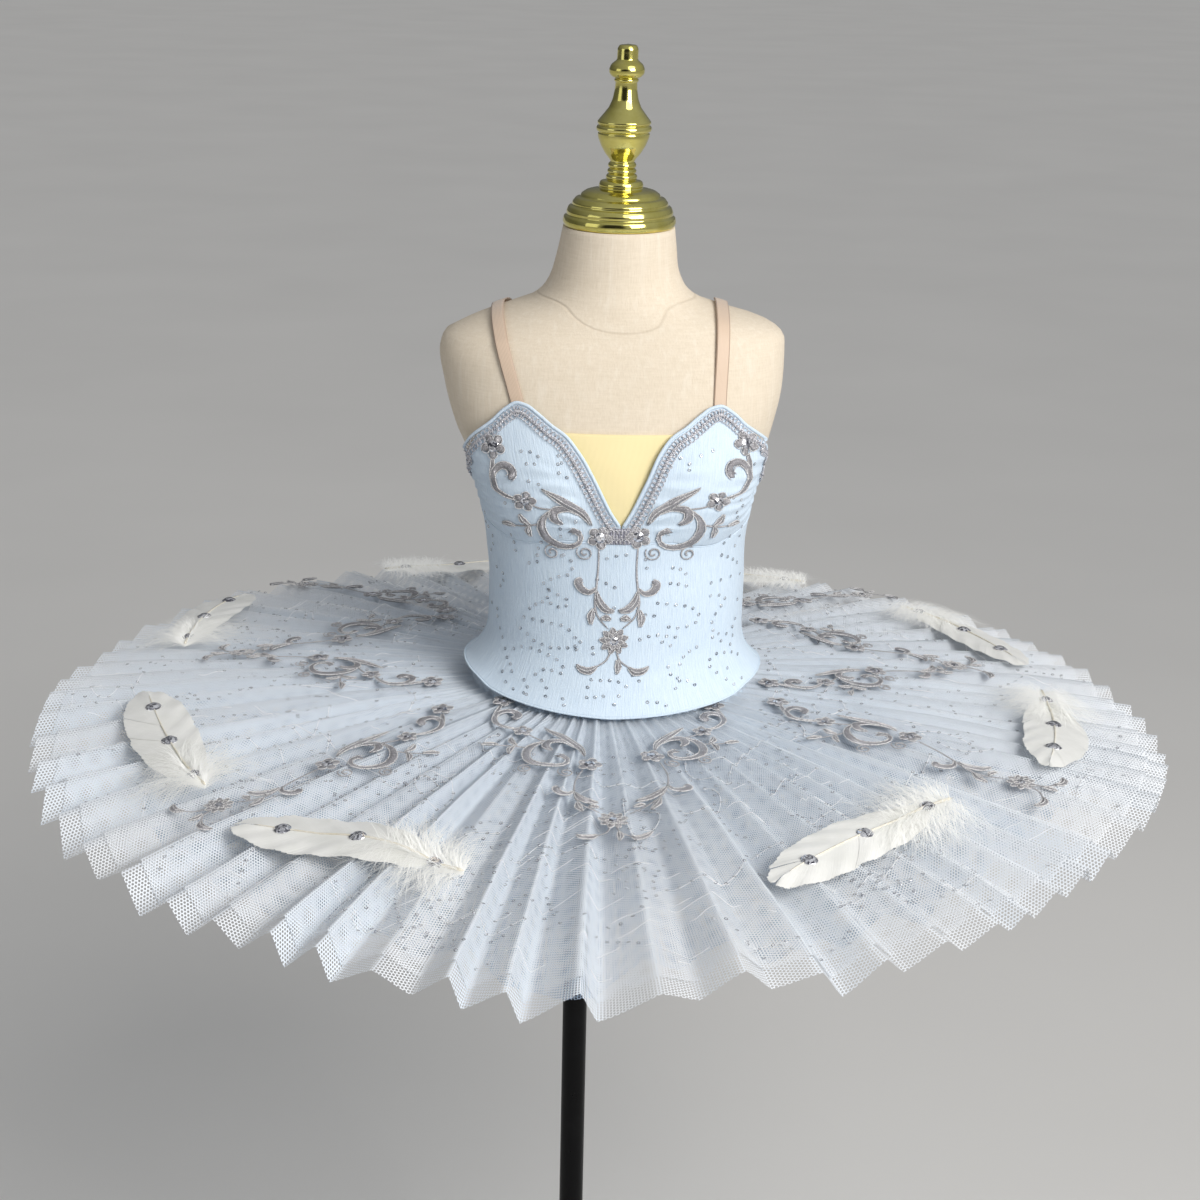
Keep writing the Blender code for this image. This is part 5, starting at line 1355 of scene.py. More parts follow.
def pleated_sheet(azimuths, fold, outside, inside, height_at, depth_at, steps, rows):
    """A pleated ring: radial rows from the hem inwards, and several columns to each face.

    Height is the layer's middle plus the fold's share of the depth at that radius. The UV
    place runs along the folded hem and along the radius.
    """
    turn = along_folds(azimuths, steps, period=2 * np.pi)
    share = along_folds(fold, steps, FOLD_EASE)
    outer, inner = along_folds(outside, steps), along_folds(inside, steps)
    reach = np.linspace(1.0, 0.0, rows)[:, None] ** 1.1
    radius = inner + (outer - inner) * reach
    number = np.arange(len(turn)) / steps
    gathers = 0.0008 * np.sin(2 * np.pi * number * 1.5 + 0.7 * np.sin(number)) * np.exp(-7 * reach)
    wave = 0.0009 * np.sin(number * 0.83 + radius * 46) * reach
    height = height_at(turn[None, :], radius) + share * depth_at(radius, reach) + gathers + wave
    points = np.stack([SKIRT_X + radius * np.sin(turn), -radius * np.cos(turn), height], axis=-1)
    hem = points[0]
    step = np.linalg.norm(np.roll(hem, -1, axis=0) - hem, axis=1)
    run = np.concatenate([[0.0], np.cumsum(step)[:-1]])
    uv = np.stack(np.broadcast_arrays(run[None, :], radius), axis=-1)
    return points, uv, reach


def net(name, rim, heart, cell, open_rim, open_heart):
    """Hexagonal net: three crossing waves leave round holes, fewer and bluer inwards; the darker
    colour inwards is partly painted shade.

    The net is closer and paler where its attributes say that it is steep or folded; along the folds
    the paleness is partly the doubled net and partly a painted highlight.
    """
    made = Surface(name, {"Roughness": 0.5, "Specular IOR Level": 0.35, "Sheen Weight": 0.2})
    across, radial, _ = made.split(made.cloth_place())
    k = 4 * math.pi / (math.sqrt(3) * cell)
    half = math.sqrt(3) / 2
    waves = (across * k).cosine() + ((across * 0.5 + radial * half) * k).cosine()
    waves = waves + ((across * 0.5 - radial * half) * k).cosine()
    inwards, steep, crease = [made.attribute(title) for title in ("inwards", "steep", "crease")]
    folded = crease * crease * crease
    limit = open_rim + inwards * (open_heart - open_rim) + steep * 0.7 + folded * 1.1
    holes = (waves - limit).ranged(-0.15, 0.15)
    made.set("Alpha", 1.0 - holes)
    cloud = made.noise(made.object_place(), 22.0, 3.0)
    # Towards the hip the colour turns to the darker heart colour, partly painted shade
    tint = made.mix(inwards.ranged(0.0, 0.75), rim, heart)
    tint = made.mix(cloud.ranged(0.35, 0.7) * 0.25, tint, heart)
    tint = made.mix(steep * 0.6, tint, (0.72, 0.79, 0.87, 1.0))
    # Along the folds: paler for the doubled net, plus a painted highlight that is strongest on the
    # upper folds
    made.set("Base Color", made.mix(folded * 0.5, tint, (0.85, 0.90, 0.95, 1.0)))
    made.bump(holes * -1.0, 0.0002, 0.5)
    return made


def pleated_piece(name, node, finish, slot, sheet, steps, steep_share, flat, area):
    """A pleated ring as a piece, with the numbers that its net reads.

    The first column is repeated at the end, so that the UV place can run on past it.
    """
    points, uv, reach = sheet
    steep = steep_share * steepness(points)
    last = uv[:, :1] * 1.0
    last[..., 0] = uv[:, -1:, 0] + np.linalg.norm(points[0, 0] - points[0, -1])
    points, uv = np.concatenate([points, points[:, :1]], axis=1), np.concatenate([uv, last], axis=1)
    shape = points.shape[:2]
    values = {
        "inwards": np.broadcast_to(1 - reach, shape),
        "steep": np.concatenate([steep, steep[:, :1]], axis=1),
        "crease": creased(shape, steps),
    }
    made = new_piece(name, points, grid_faces(*shape), finish, slot, [node], uv, values)


def steepness(points):
    """How steep each place is round the skirt, from 0 on a flat face to 1 on an upright one."""
    steps = np.roll(points, -1, axis=1) - points, points - np.roll(points, 1, axis=1)
    slope = [np.abs(d[..., 2]) / np.maximum(np.hypot(d[..., 0], d[..., 1]), 1e-6) for d in steps]
    return np.clip((np.maximum(*slope) - 0.55) / 0.9, 0.0, 1.0)


def top_ring_radii():
    """Radii of the top layers' seam and hem at each fold."""
    azimuths, fold = folds()
    inside = seam_radius(azimuths, SEAM_HALF_WIDTH, SEAM_HALF_DEPTH)
    uneven = 0.0035 * np.sin(3.1 * np.arange(2 * PLEATS)) + np.where(fold < 0, 0.003, 0.0)
    return azimuths, fold, inside, HEM_RADIUS + uneven


def creased(shape, steps):
    """1 along each upper fold, less along each lower one, and 0 between them."""
    place = np.arange(shape[1]) % (2 * steps)
    return np.broadcast_to(np.select([place == steps, place == 0], [1.0, 0.45]), shape)


def top_layer(name, node, finish, slot, drop, inset, flat, area):
    """One of the two top layers: the net, or the overlay just above it with a shorter hem."""
    azimuths, fold, inside, outside = top_ring_radii()
    sheet = pleated_sheet(
        azimuths, fold, outside - inset, inside,
        lambda turn, radius: plate_height(turn, radius) - drop,
        lambda radius, reach: pleat_depth(radius), TOP_STEPS, 40,
    )
    pleated_piece(name, node, finish, slot, sheet, TOP_STEPS, 1.0, flat, area)


def top_layers():
    """The stiff net, its header and the finer overlay above it."""
    stiff = net("net", looks().net_hem, looks().net_hip_shaded, sizes().net_cell, -0.48, -0.34)
    top_layer("stiff_net", "skirt_net", stiff, "net", NET_LEVEL, 0.0, (4.3, 0.35), 0.93)
    tones = (0.90, 0.91, 0.93, 1.0), (0.80, 0.85, 0.91, 1.0)
    fine = net("overlay_tulle", *tones, sizes().tulle_cell, -0.66, -0.62)
    slot, flat = "overlay_tulle", (4.2, 0.335)
    top_layer("overlay", "skirt_overlay", fine, slot, 0.0, OVERLAY_INSET, flat, 0.87)
    header(stiff)


def header(finish):
    """The net's gathered top, which climbs from the seam to the brief under the basque."""
    count, rows = 1200, 9
    turn = np.arange(count + 1) * 2 * np.pi / count
    radius = seam_radius(turn, SEAM_HALF_WIDTH, SEAM_HALF_DEPTH)
    x, y = SKIRT_X + radius * np.sin(turn), -radius * np.cos(turn)
    low = np.stack([x, y, plate_height(turn, radius)], axis=-1)
    around = np.arctan2(x - TORSO_X, -y * SEAM_HALF_WIDTH / SEAM_HALF_DEPTH)
    high = off_form(around, HEADER_TOP, 0.0046)
    share = np.linspace(0.0, 1.0, rows)[:, None]
    points = low * (1 - share[..., None]) + high * share[..., None]
    points[..., 2] += 0.0011 * np.sin(turn * 118 + 2.2 * np.sin(turn * 17)) * (1 - share) ** 0.5
    uv = np.stack(np.broadcast_arrays(turn * 0.22, share * 0.018), axis=-1)
    shape = points.shape[:2]
    values = {"inwards": np.ones(shape), "steep": np.full(shape, 0.7), "crease": np.zeros(shape)}
    made = new_piece("net_header", points, grid_faces(*shape), finish, "net", (), uv, values)


def near_long_fold(turn):
    """1 at the lower layers' longest fold, and 0 away from it."""
    away = (np.degrees(turn) - LONG_FOLD["azimuth"] + 180.0) % 360.0 - 180.0
    return np.exp(-(away / LONG_FOLD["half_width"]) ** 2)


def under_layers():
    """Two shorter layers of blue net below the top one, with their own pleats."""
    # The under net's own blue, darkened further as painted shade between the layers, most of all
    # towards the hip
    blue = net("under_net", (0.42, 0.52, 0.65, 1.0), (0.25, 0.35, 0.49, 1.0), 0.0024, -0.2, 0.5)
    for number, (name, size) in enumerate(UNDER_LAYERS.items()):
        reach, seam_z, drop = size["reach"], size["seam_z"], size["edge_drop"]
        count = 2 * size["pleats"]
        order = np.arange(count)
        azimuths = 2 * np.pi * (order + 0.18 * np.sin(2.7 * order) + 0.5 * number) / count
        fold = np.where(order % 2 == 0, -1.0, 1.0)
        half_sizes = [half + UNDER_SEAM_EASE for half in form_row(seam_z)[:2]]
        further = LONG_FOLD["further"] * near_long_fold(azimuths)
        outside = reach + 0.004 * np.sin(1.7 * order) + further

        def height_at(turn, radius):
            """A cone from the layer's seam to its own edge, below the top layer."""
            inner = seam_radius(turn, *half_sizes)
            share = (radius - inner) / (reach - inner)
            edge = plate_height(turn, np.full_like(radius, reach)) - drop
            edge = edge - LONG_FOLD["lower"] * near_long_fold(turn)
            return seam_z * (1 - share) + edge * share

        sheet = pleated_sheet(
            azimuths, fold, outside, seam_radius(azimuths, *half_sizes), height_at,
            lambda radius, share: GATHER_DEPTH + (UNDER_PLEAT_DEPTH - GATHER_DEPTH) * share,
            UNDER_STEPS, 26,
        )
        flat, area = size["flat"], size["area"]
        pleated_piece("blue_" + name, name, blue, "under_net", sheet, UNDER_STEPS, 0.4, flat, area)


def over_skirt(places, height=0.0):
    """Points above the upper folds of the skirt, from places across its plane.

    Between two folds the height runs from one to the next, as cloth laid over them does.
    """
    x, y = places[..., 0], places[..., 1]
    radius, azimuth = np.hypot(x, y), np.arctan2(x, -y)
    azimuths, fold = folds()
    upper = np.interp(azimuth, azimuths[1::2], fold[1::2], period=2 * np.pi)
    level = plate_height(azimuth, radius) + upper * pleat_depth(radius) + FOLD_CLEARANCE + height
    return np.stack([SKIRT_X + x, y, level], axis=-1)


def on_overlay(azimuth, radius, height):
    """Points on the overlay itself, down and up its folds."""
    azimuths, fold = folds()
    turn = along_folds(azimuths, TOP_STEPS, period=2 * np.pi)
    near = np.interp(azimuth, turn, along_folds(fold, TOP_STEPS, FOLD_EASE), period=2 * np.pi)
    level = plate_height(azimuth, radius) + near * pleat_depth(radius) + height
    return np.stack([SKIRT_X + radius * np.sin(azimuth), -radius * np.cos(azimuth), level], axis=-1)


class Embroidery:
    """The strokes of one applique, drawn in a plane and laid on a surface."""

    def __init__(self, surface):
        self.surface = surface
        self.parts = []
        self.places = []
        self.painted_glints = []

    def stroke(self, path, widths, flat=0.5, height=0.0006, sides=8, samples=20, painted_glints=0.3):
        """A satin-stitched band: a flattened cord along a smooth path, closed at its ends."""
        path = smooth_path(path, samples)
        at = np.linspace(0.0, 1.0, samples)
        radius = np.interp(at, np.linspace(0.0, 1.0, len(widths)), widths)
        radius = radius * np.clip(1 - (2 * at - 1) ** 10, 0.0, 1.0) ** 0.5
        middle = self.surface(path, height)
        up = unit(self.surface(path, height + 0.001) - middle)
        points, faces = cords(middle, up, radius, sides, flat)
        across = radius[:, None] * np.cos(even_turns(sides))
        uv = np.stack(np.broadcast_arrays(run_of(middle)[:, None], across), axis=-1)
        self.parts.append((points, faces))
        self.places.append(uv.reshape(-1, 2))
        self.painted_glints.append(np.full(len(points), painted_glints))

    def outline(self, path, height, radius=0.0004, sides=5, samples=14):
        """A raised cord along a path, bright with painted glints."""
        self.stroke(path, np.atleast_1d(radius), 1.0, height, sides, samples, 1.0)

    def corded(self, path, widths, height=0.0006):
        """A band with a raised cord along both its edges."""
        self.stroke(path, widths, 0.42, height, painted_glints=0.0)
        path = smooth_path(path, 16)
        along = unit(np.gradient(path, axis=0))
        side = np.stack([-along[:, 1], along[:, 0]], axis=1)
        half = np.interp(np.linspace(0, 1, 16), np.linspace(0, 1, len(widths)), widths)[:, None]
        for edge in (-1, 1):
            self.outline(path + edge * side * half * 0.95, height + 0.0004, 0.00052, samples=16)

    def leaf(self, path, widths, height=0.0006):
        """A leaf: a corded band that narrows at both ends, with a raised vein."""
        self.corded(path, widths, height)
        self.outline(path, height + 0.0011, [0.0004, 0.0005, 0.0003], samples=12)

    def petals(self, centre, radius, turn, height=0.0006, count=5, slim=0.38):
        """A flower: petals as short leaves round a middle, each with a corded rim."""
        half = radius * slim
        for angle in turn + even_turns(count):
            away = np.array([np.cos(angle), np.sin(angle)])
            side = np.array([-away[1], away[0]])
            path = centre + np.outer([0.25, 0.62, 1.0], away) * radius
            self.stroke(path, [half * 0.55, half, half * 0.55], 0.35, height, 6, 8, 0.1)
            rim = np.outer([0.30, 0.66, 1.0, 0.66, 0.30], away)
            rim = rim + np.outer([-0.55, -1.0, 0.0, 1.0, 0.55], side) * slim
            self.outline(centre + rim * radius, height + 0.0005, sides=4)

    def spiral(self, centre, radius, turn, height=0.0008):
        """A small coil of cord: the radius shrinks evenly with the angle."""
        at = np.linspace(0.0, 1.0, 26)
        angle = turn + at * 3.3 * np.pi
        circle = np.stack([np.cos(angle), np.sin(angle)], axis=1)
        path = centre + (radius * (1 - 0.85 * at))[:, None] * circle
        self.stroke(path, [0.0006, 0.0006, 0.0010], 0.8, height, 5, 26, 0.35)

    def finish(self, name, finish, nodes):
        """Makes one piece of all the strokes."""
        points, faces = joined(self.parts)
        values, places = {"painted_glints": np.concatenate(self.painted_glints)}, np.vstack(self.places)
        slot = "silver_embroidery"
        merge_poles(new_piece(name, points, faces, finish, slot, nodes, places, values))


def stone(surface, centre, radius, height, turn=0.0):
    """A cut stone: a flat back, a narrow rim, two rings of facets and a flat table, as one grid."""
    angle = turn + even_turns(STONE_SIDES)
    rings = []
    for share, level, offset in STONE_RINGS:
        around = angle + offset * np.pi / STONE_SIDES
        spot = centre + share * radius * np.stack([np.cos(around), np.sin(around)], axis=1)
        rings.append(surface(spot, height + level * radius * 0.38))
    return grids(np.stack(rings)[None], True)


def cut_stones(name, stones, slot):
    """Several cut stones as one piece with flat facets."""
    loose_piece(name, stones, crystal(), slot).data.shade_flat()


def laid(places, start, end, mirrored, drawn=SPRAY_END):
    """Places drawn from (0, 0) to an end, turned and scaled to run from start to end."""
    places = np.asarray(places, float)
    spot = (places[..., 0] + 1j * places[..., 1]) / complex(*drawn)
    spot = np.conj(spot) if mirrored else spot
    spot = complex(*start) + spot * (complex(*end) - complex(*start))
    return np.stack([spot.real, spot.imag], axis=-1)


def in_metres(*places):
    """Tables in tenths of a millimetre as arrays in metres."""
    return [np.array(table) / TENTHS for table in places]


def half_motif(stone, end, tip, mirrored, bow=0):
    """Half a motif in metres."""
    return *in_metres(stone, end, tip), mirrored, bow / TENTHS


def draw_spray(work, half, gems):
    """Half a motif above its stone flower: scroll, leaves, sprig, spirals and three flowers."""
    start, end, _, mirrored, _ = half
    at = lambda places: laid(places, start, end, mirrored)
    for kind, *drawn in SPRAY:
        path, widths = in_metres(*drawn)
        getattr(work, kind)(at(path), widths)
    for (centre, radius, turn), gem in zip(SPRAY_FLOWERS, (sizes().stone, 0.0032, 0.0042)):
        work.petals(at(centre), radius, turn + start[0] * 30)
        gems.append((at(centre), gem))
    for centre, turn in SPRAY_SPIRALS:
        work.spiral(at(centre), 0.0066, turn)


def draw_vine(work, half):
    """Half a motif below its stone flower: a stem bowed by half a sine, with leaves and buds."""
    start, _, end, mirrored, bow = half

    def at(places):
        """Places along the bowed vine."""
        bent = np.array(places, float)
        share = np.clip(bent[:, 1] / VINE_END[1], 0.0, 1.0)
        bent[:, 0] += bow * np.sin(np.pi * share ** 0.8)
        return laid(bent, start, end, mirrored, VINE_END)

    for kind, *drawn in VINE:
        path, widths = in_metres(*drawn)
        getattr(work, kind)(at(path), widths)
    work.stroke(at(VINE_SHOOT), [0.0006, 0.0006], samples=6)


def draw_tip(work, centre, down, gems):
    """The flower at a vine's tip with two curved leaves and a bud beyond it."""
    side = np.array([-down[1], down[0]])
    at = lambda places: centre + np.asarray(places) @ np.stack([down, side])
    work.petals(centre, 0.0112, 0.3, count=9, slim=0.22)
    work.petals(centre, 0.0072, 0.6, 0.0012, count=8, slim=0.26)
    for sign in (-1, 1):
        work.stroke(at(TIP_STEM * (1, sign)), [0.0008, 0.0007])
        work.leaf(at(TIP_LEAF * (1, sign)), [0.0008, 0.0028, 0.0026, 0.0006])
    work.leaf(at(TIP_BUD), [0.0006, 0.0026, 0.0006])
    gems.append((centre, 0.0040))


def bodice_appliques(finish):
    """A spray over each cup and the vines down the front panel."""
    gems = []
    vines = Embroidery(over_front)
    for name, row in BODICE_MOTIF.items():
        half = half_motif(*row)
        work = Embroidery(over_front)
        draw_spray(work, half, gems)
        work.finish("spray_" + name, finish, ["applique_cup_" + name])
        draw_vine(vines, half)
    draw_tip(vines, half[2], np.array([0.0, -1.0]), gems)
    vines.finish("vine", finish, ["applique_vine"])
    stones = [stone(over_front, centre, radius, 0.0009) for centre, radius in gems]
    cut_stones("bodice_stones", stones, "silver_embroidery")


def skirt_motifs(finish):
    """The scroll motifs that lie on the skirt's upper folds."""
    gems = []
    for name, rows in MOTIFS.items():
        halves = [half_motif(*row) for row in rows]
        work = Embroidery(over_skirt)
        for half in halves:
            draw_spray(work, half, gems)
            draw_vine(work, half)
        tip = halves[0][2]
        draw_tip(work, tip, tip / np.linalg.norm(tip), gems)
        work.finish("scroll_" + name, finish, [name])
    stones = [stone(over_skirt, centre, radius, 0.0009) for centre, radius in gems]
    cut_stones("skirt_stones", stones, "silver_embroidery")


def strips(paths, up, widths):
    """Flat ribbons along many paths: two points across at each place of each path."""
    along = unit(np.gradient(paths, axis=-2))
    side = unit(np.cross(along, up)) * widths[..., None] / 2
    return np.stack([paths - side, paths + side], axis=-2)


def feather_path(size, share):
    """Places along a feather's shaft: a straight line with a parabola's bend to one side."""
    quill, tip, bend = size
    along = tip - quill
    across = np.array((-along[1], along[0])) / np.linalg.norm(along)
    share = np.asarray(share)[..., None]
    return quill + along * share + across * bend * 4 * share * (1 - share)


def barbs(size, share, angle, length, curl, steps):
    """Places across the skirt along lines that leave a feather's shaft and turn evenly."""
    start = feather_path(size, share)
    ahead = unit(feather_path(size, share + 0.01) - start)
    t = np.linspace(0.0, 1.0, steps)
    turned = angle[:, None] + curl[:, None] * t
    step = length[:, None] / (steps - 1)
    x = (ahead[:, :1] * np.cos(turned) - ahead[:, 1:] * np.sin(turned)) * step
    y = (ahead[:, :1] * np.sin(turned) + ahead[:, 1:] * np.cos(turned)) * step
    moved = np.cumsum(np.stack([x, y], axis=-1), axis=1)
    moved = np.concatenate([np.zeros_like(moved[:, :1]), moved[:, :-1]], axis=1)
    return start[:, None] + moved, t


def vane(size, rng):
    """The vane: smooth strips of barbs that curve towards the tip, with small splits.

    Across a strip the height falls from the shaft to the edge as a shallow dome.
    """
    parts, places = [], []
    for side in (-1.0, 1.0):
        cuts = np.concatenate([[0.14], np.sort(rng.uniform(0.32, 0.93, 5)), [0.995]])
        for low, high in zip(cuts[:-1], cuts[1:]):
            share = np.linspace(low, high + 0.006, max(int((high - low) * 90), 5))
            length = straight(share, VANE) * (1 + 0.02 * np.sin(share * 210 + low * 90))
            length = length * rng.uniform(0.97, 1.02)
            angle = side * (np.radians(straight(share, BARB_ANGLES)) + rng.normal(0, 0.02))
            flat, t = barbs(size, share, angle, length, -0.35 * angle, 9)
            dome = 0.0046 - 0.0030 * t ** 1.5 + 0.0006 * np.sin(share * 40 + side)[:, None] * t
            points = over_skirt(flat, dome + rng.uniform(0, 0.0005))
            along = share[:, None] * np.linalg.norm(size[1] - size[0])
            uv = np.stack(np.broadcast_arrays(along + 0.5 * side, t * length[:, None]), axis=-1)
            faces = grid_faces(len(share), 9)
            parts.append((points.reshape(-1, 3), faces[:, ::-1] if side > 0 else faces))
            places.append(uv.reshape(-1, 2))
    return *joined(parts), np.vstack(places)


def straight(at, table):
    """Straight lines through a table's rows."""
    return np.interp(at, table[:, 0], table[:, 1])


def down(size, rng, count=760, steps=8):
    """Down at the quill: thin curled strands, whose direction turns evenly along each."""
    share = rng.beta(1.1, 2.2, count) * 0.40 + 0.004
    side = rng.choice([-1.0, 1.0], count)
    angle = side * np.radians(rng.uniform(14, 108, count))
    length = rng.uniform(0.45, 1.1, count) * straight(share, DOWN_REACH)
    flat, t = barbs(size, share, angle, length, rng.normal(0, 0.6, count), steps)
    rise = rng.uniform(0, 0.010, count)[:, None] * np.sin(np.pi * np.clip(t * 1.1, 0, 1)) ** 1.5
    points = over_skirt(flat, 0.0018 + rise + rng.uniform(0, 0.002, count)[:, None])
    widths = np.broadcast_to(0.00034 * (1 - 0.6 * t), rise.shape)
    points, faces = grids(strips(points, (0.0, 0.0, 1.0), widths))
    return points, faces, np.zeros((len(points), 2))


def feathers():
    """Each feather: a vane of barbs, down at its quill, a tapered shaft and three cut stones."""
    white = feather_white("feather_white", 0.0)
    fluff = feather_white("feather_down", 0.16)
    shaft = quill_cream()
    share = np.linspace(0.0, 0.97, 40)
    for number, (name, row) in enumerate(FEATHERS.items()):
        size = in_metres(*row)
        rng = np.random.default_rng(40 + number)
        points, faces, uv = vane(size, rng)
        new_piece("plume_" + name, points, faces, white, "feather", [name], uv)
        points, faces, uv = down(size, rng)
        new_piece("down_" + name, points, faces, fluff, "feather", (), uv)
        middle = over_skirt(feather_path(size, share), 0.0052)
        cord = cords(middle, (0.0, 0.0, 1.0), 0.00125 * (1 - 0.75 * share), 6)
        loose_piece("shaft_" + name, [cord], shaft, "feather")
        radius = sizes().stone + 0.0018
        stones = [
            stone(over_skirt, feather_path(size, at), radius, 0.0048, at) for at in FEATHER_STONES
        ]
        cut_stones("stones_" + name, stones, "feather")


def feather_white(name, glow):
    """White feather: soft, a little creamy, with fine streaks along its barbs.

    The glow stands for light that passes through thin down.
    """
    made = Surface(name, {"Roughness": 0.6, "Sheen Weight": 0.3, "Specular IOR Level": 0.3})
    made.set("Emission Color", (0.97, 0.98, 1.0, 1.0))
    made.set("Emission Strength", glow)
    barb = made.noise(made.stretched(made.cloth_place(), (1.0, 0.05, 1.0)), 900.0, 3.0, 0.6)
    tone = made.noise(made.object_place(), 60.0, 3.0)
    light = made.mix(tone.ranged(0.3, 0.7), (0.82, 0.815, 0.77, 1.0), (0.91, 0.90, 0.865, 1.0))
    made.set("Base Color", made.mix(barb.ranged(0.35, 0.7) * 0.3, light, (0.74, 0.74, 0.72, 1.0)))
    made.bump(barb, 0.0004, 0.6)
    return made


def quill_cream():
    """The shaft's horn: cream, smooth and slightly glossy, with soft spots."""
    made = Surface("quill_cream", {"Roughness": 0.35, "Coat Weight": 0.2})
    tone = made.noise(made.object_place(), 200.0, 3.0)
    tones = (0.78, 0.72, 0.58, 1.0), (0.90, 0.86, 0.76, 1.0)
    made.set("Base Color", made.mix(tone.ranged(0.3, 0.7), *tones))
    made.bump(tone, 0.0002, 0.4)
    return made


def sew_sequins(name, places, out, tilt, rng, finish):
    """Sequins as one piece: rims of three circles of points, tipped a little to random sides."""
    count, sides = len(places), 8
    helper = unit(np.cross(out, rng.normal(size=out.shape)))
    lean = unit(out + helper * tilt * rng.uniform(0, 1, count)[:, None])
    side = unit(np.cross(lean, helper))
    over = np.cross(lean, side)
    angle = even_turns(sides)[:, None]
    circle = side[:, None] * np.cos(angle) + over[:, None] * np.sin(angle)
    rings = [
        places[:, None] + radius * circle + lean[:, None] * level for radius, level in SEQUIN_RIMS
    ]
    points, faces = grids(np.stack(rings, axis=1), True)
    values = {"rim": np.tile(np.repeat((1.0, 0.5, 0.0), sides), count)}
    new_piece(name, points, faces, finish, "silver_embroidery", (), points[:, :2], values)


def sequin_lines():
    """Places of the bodice's sequins: even steps of about 6.8 mm along gently curved lines."""
    spots = []
    for line in SEQUIN_LINES:
        line = np.array(line) / TENTHS
        length = np.sum(np.linalg.norm(np.diff(line, axis=0), axis=1))
        count = max(int(round(length / 0.0068)), 1) + 1
        curved = len(line) > 2
        spots.append(smooth_path(line, count) if curved else np.linspace(line[0], line[-1], count))
    return np.vstack(spots)


def bodice_sequins():
    """Ring sequins sewn along curved lines on the bodice, and the same ones on its back."""
    rng = np.random.default_rng(7)
    finish = sequin("sequin_silver", (0.92, 0.94, 0.97, 1.0), (0.20, 0.22, 0.26, 1.0))
    spots = sequin_lines()
    z = STONE_LEVEL + spots[:, 1]
    turn = azimuth_at(spots[:, 0], z)
    back = z < BACK_EDGE[:, 1].min() - 0.006
    turn, z = np.concatenate([turn, np.pi - turn[back]]), np.concatenate([z, z[back]])
    places = bodice_point(turn, z, SEWN_HEIGHT)
    sew_sequins("bodice_sequins", places, form_normal(turn, z), 0.3, rng, finish)


def sequin_chains():
    """Curved chains over the skirt: arcs of even bend, CHAIN_PARTS places to each sequin."""
    rng = np.random.default_rng(11)
    chains, steps = 340, 9
    radius = np.sqrt(rng.uniform(0.15 ** 2, 0.435 ** 2, chains))
    turn = rng.uniform(-np.pi, np.pi, chains)
    along = np.arange(steps * CHAIN_PARTS) / CHAIN_PARTS
    heading = rng.uniform(-np.pi, np.pi, chains)[:, None]
    heading = heading + rng.normal(0, 0.34, chains)[:, None] * along
    part = SEQUIN_STEP / CHAIN_PARTS
    x = (radius * np.sin(turn))[:, None] + np.cumsum(np.cos(heading), axis=1) * part
    y = (-radius * np.cos(turn))[:, None] + np.cumsum(np.sin(heading), axis=1) * part
    return x, y


def skirt_sequins():
    """Ring sequins along the chains, SEQUIN_STEP apart."""
    rng = np.random.default_rng(13)
    finish = sequin("sequin_skirt", (0.93, 0.94, 0.97, 1.0), (0.34, 0.35, 0.39, 1.0))
    x, y = [across[:, ::CHAIN_PARTS] for across in sequin_chains()]
    away = np.hypot(x, y)
    kept = (away > 0.135) & (away < HEM_RADIUS - OVERLAY_INSET - 0.006)
    places = on_overlay(np.arctan2(x, -y)[kept], away[kept], SEWN_HEIGHT)
    up = np.tile((0.0, 0.0, 1.0), (len(places), 1))
    sew_sequins("skirt_sequins", places, up, 0.5, rng, finish)


def skirt_threads():
    """Silver threads: one along some chains of sequins, and short ones woven in sideways."""
    rng = np.random.default_rng(12)
    count, steps = 380, 18
    radius = np.sqrt(rng.uniform(0.17 ** 2, 0.43 ** 2, count))[:, None]
    turn = rng.uniform(-np.pi, np.pi, count)[:, None]
    length = rng.uniform(0.005, 0.032, count)[:, None]
    t = np.linspace(-0.5, 0.5, steps)
    wave = rng.normal(0, 0.0009, (count, 1))
    wave = wave * np.sin(2 * np.pi * t * rng.uniform(0.5, 1.5, (count, 1)))
    short_x = radius * np.sin(turn) + length * t
    short_y = -radius * np.cos(turn) + wave + rng.normal(0, 0.12, (count, 1)) * length * t
    chain_x, chain_y = sequin_chains()
    sewn = rng.uniform(size=len(chain_x)) < 0.30
    x, y = np.concatenate([short_x, chain_x[sewn]]), np.concatenate([short_y, chain_y[sewn]])
    away = np.hypot(x, y)
    kept = (away.min(axis=1) > 0.14) & (away.max(axis=1) < HEM_RADIUS - OVERLAY_INSET - 0.003)
    paths = on_overlay(np.arctan2(x, -y), away, SEWN_HEIGHT)[kept]
    cord = cords(paths, (0.0, 0.0, 1.0), 0.00027, 3)
    thread = silver_thread("thread", (0.97, 0.97, 0.98, 1.0), (0.80, 0.81, 0.84, 1.0), 0.0011, 0.0)
    # Painted glow: the threads glow a little, though they are no lamp, standing for their glints
    thread.set("Emission Color", (0.95, 0.97, 1.0, 1.0))
    thread.set("Emission Strength", 0.2)
    values = {"painted_glints": np.full(len(cord[0]), 0.25)}
    loose_piece("skirt_threads", [cord], thread, "silver_embroidery", values)


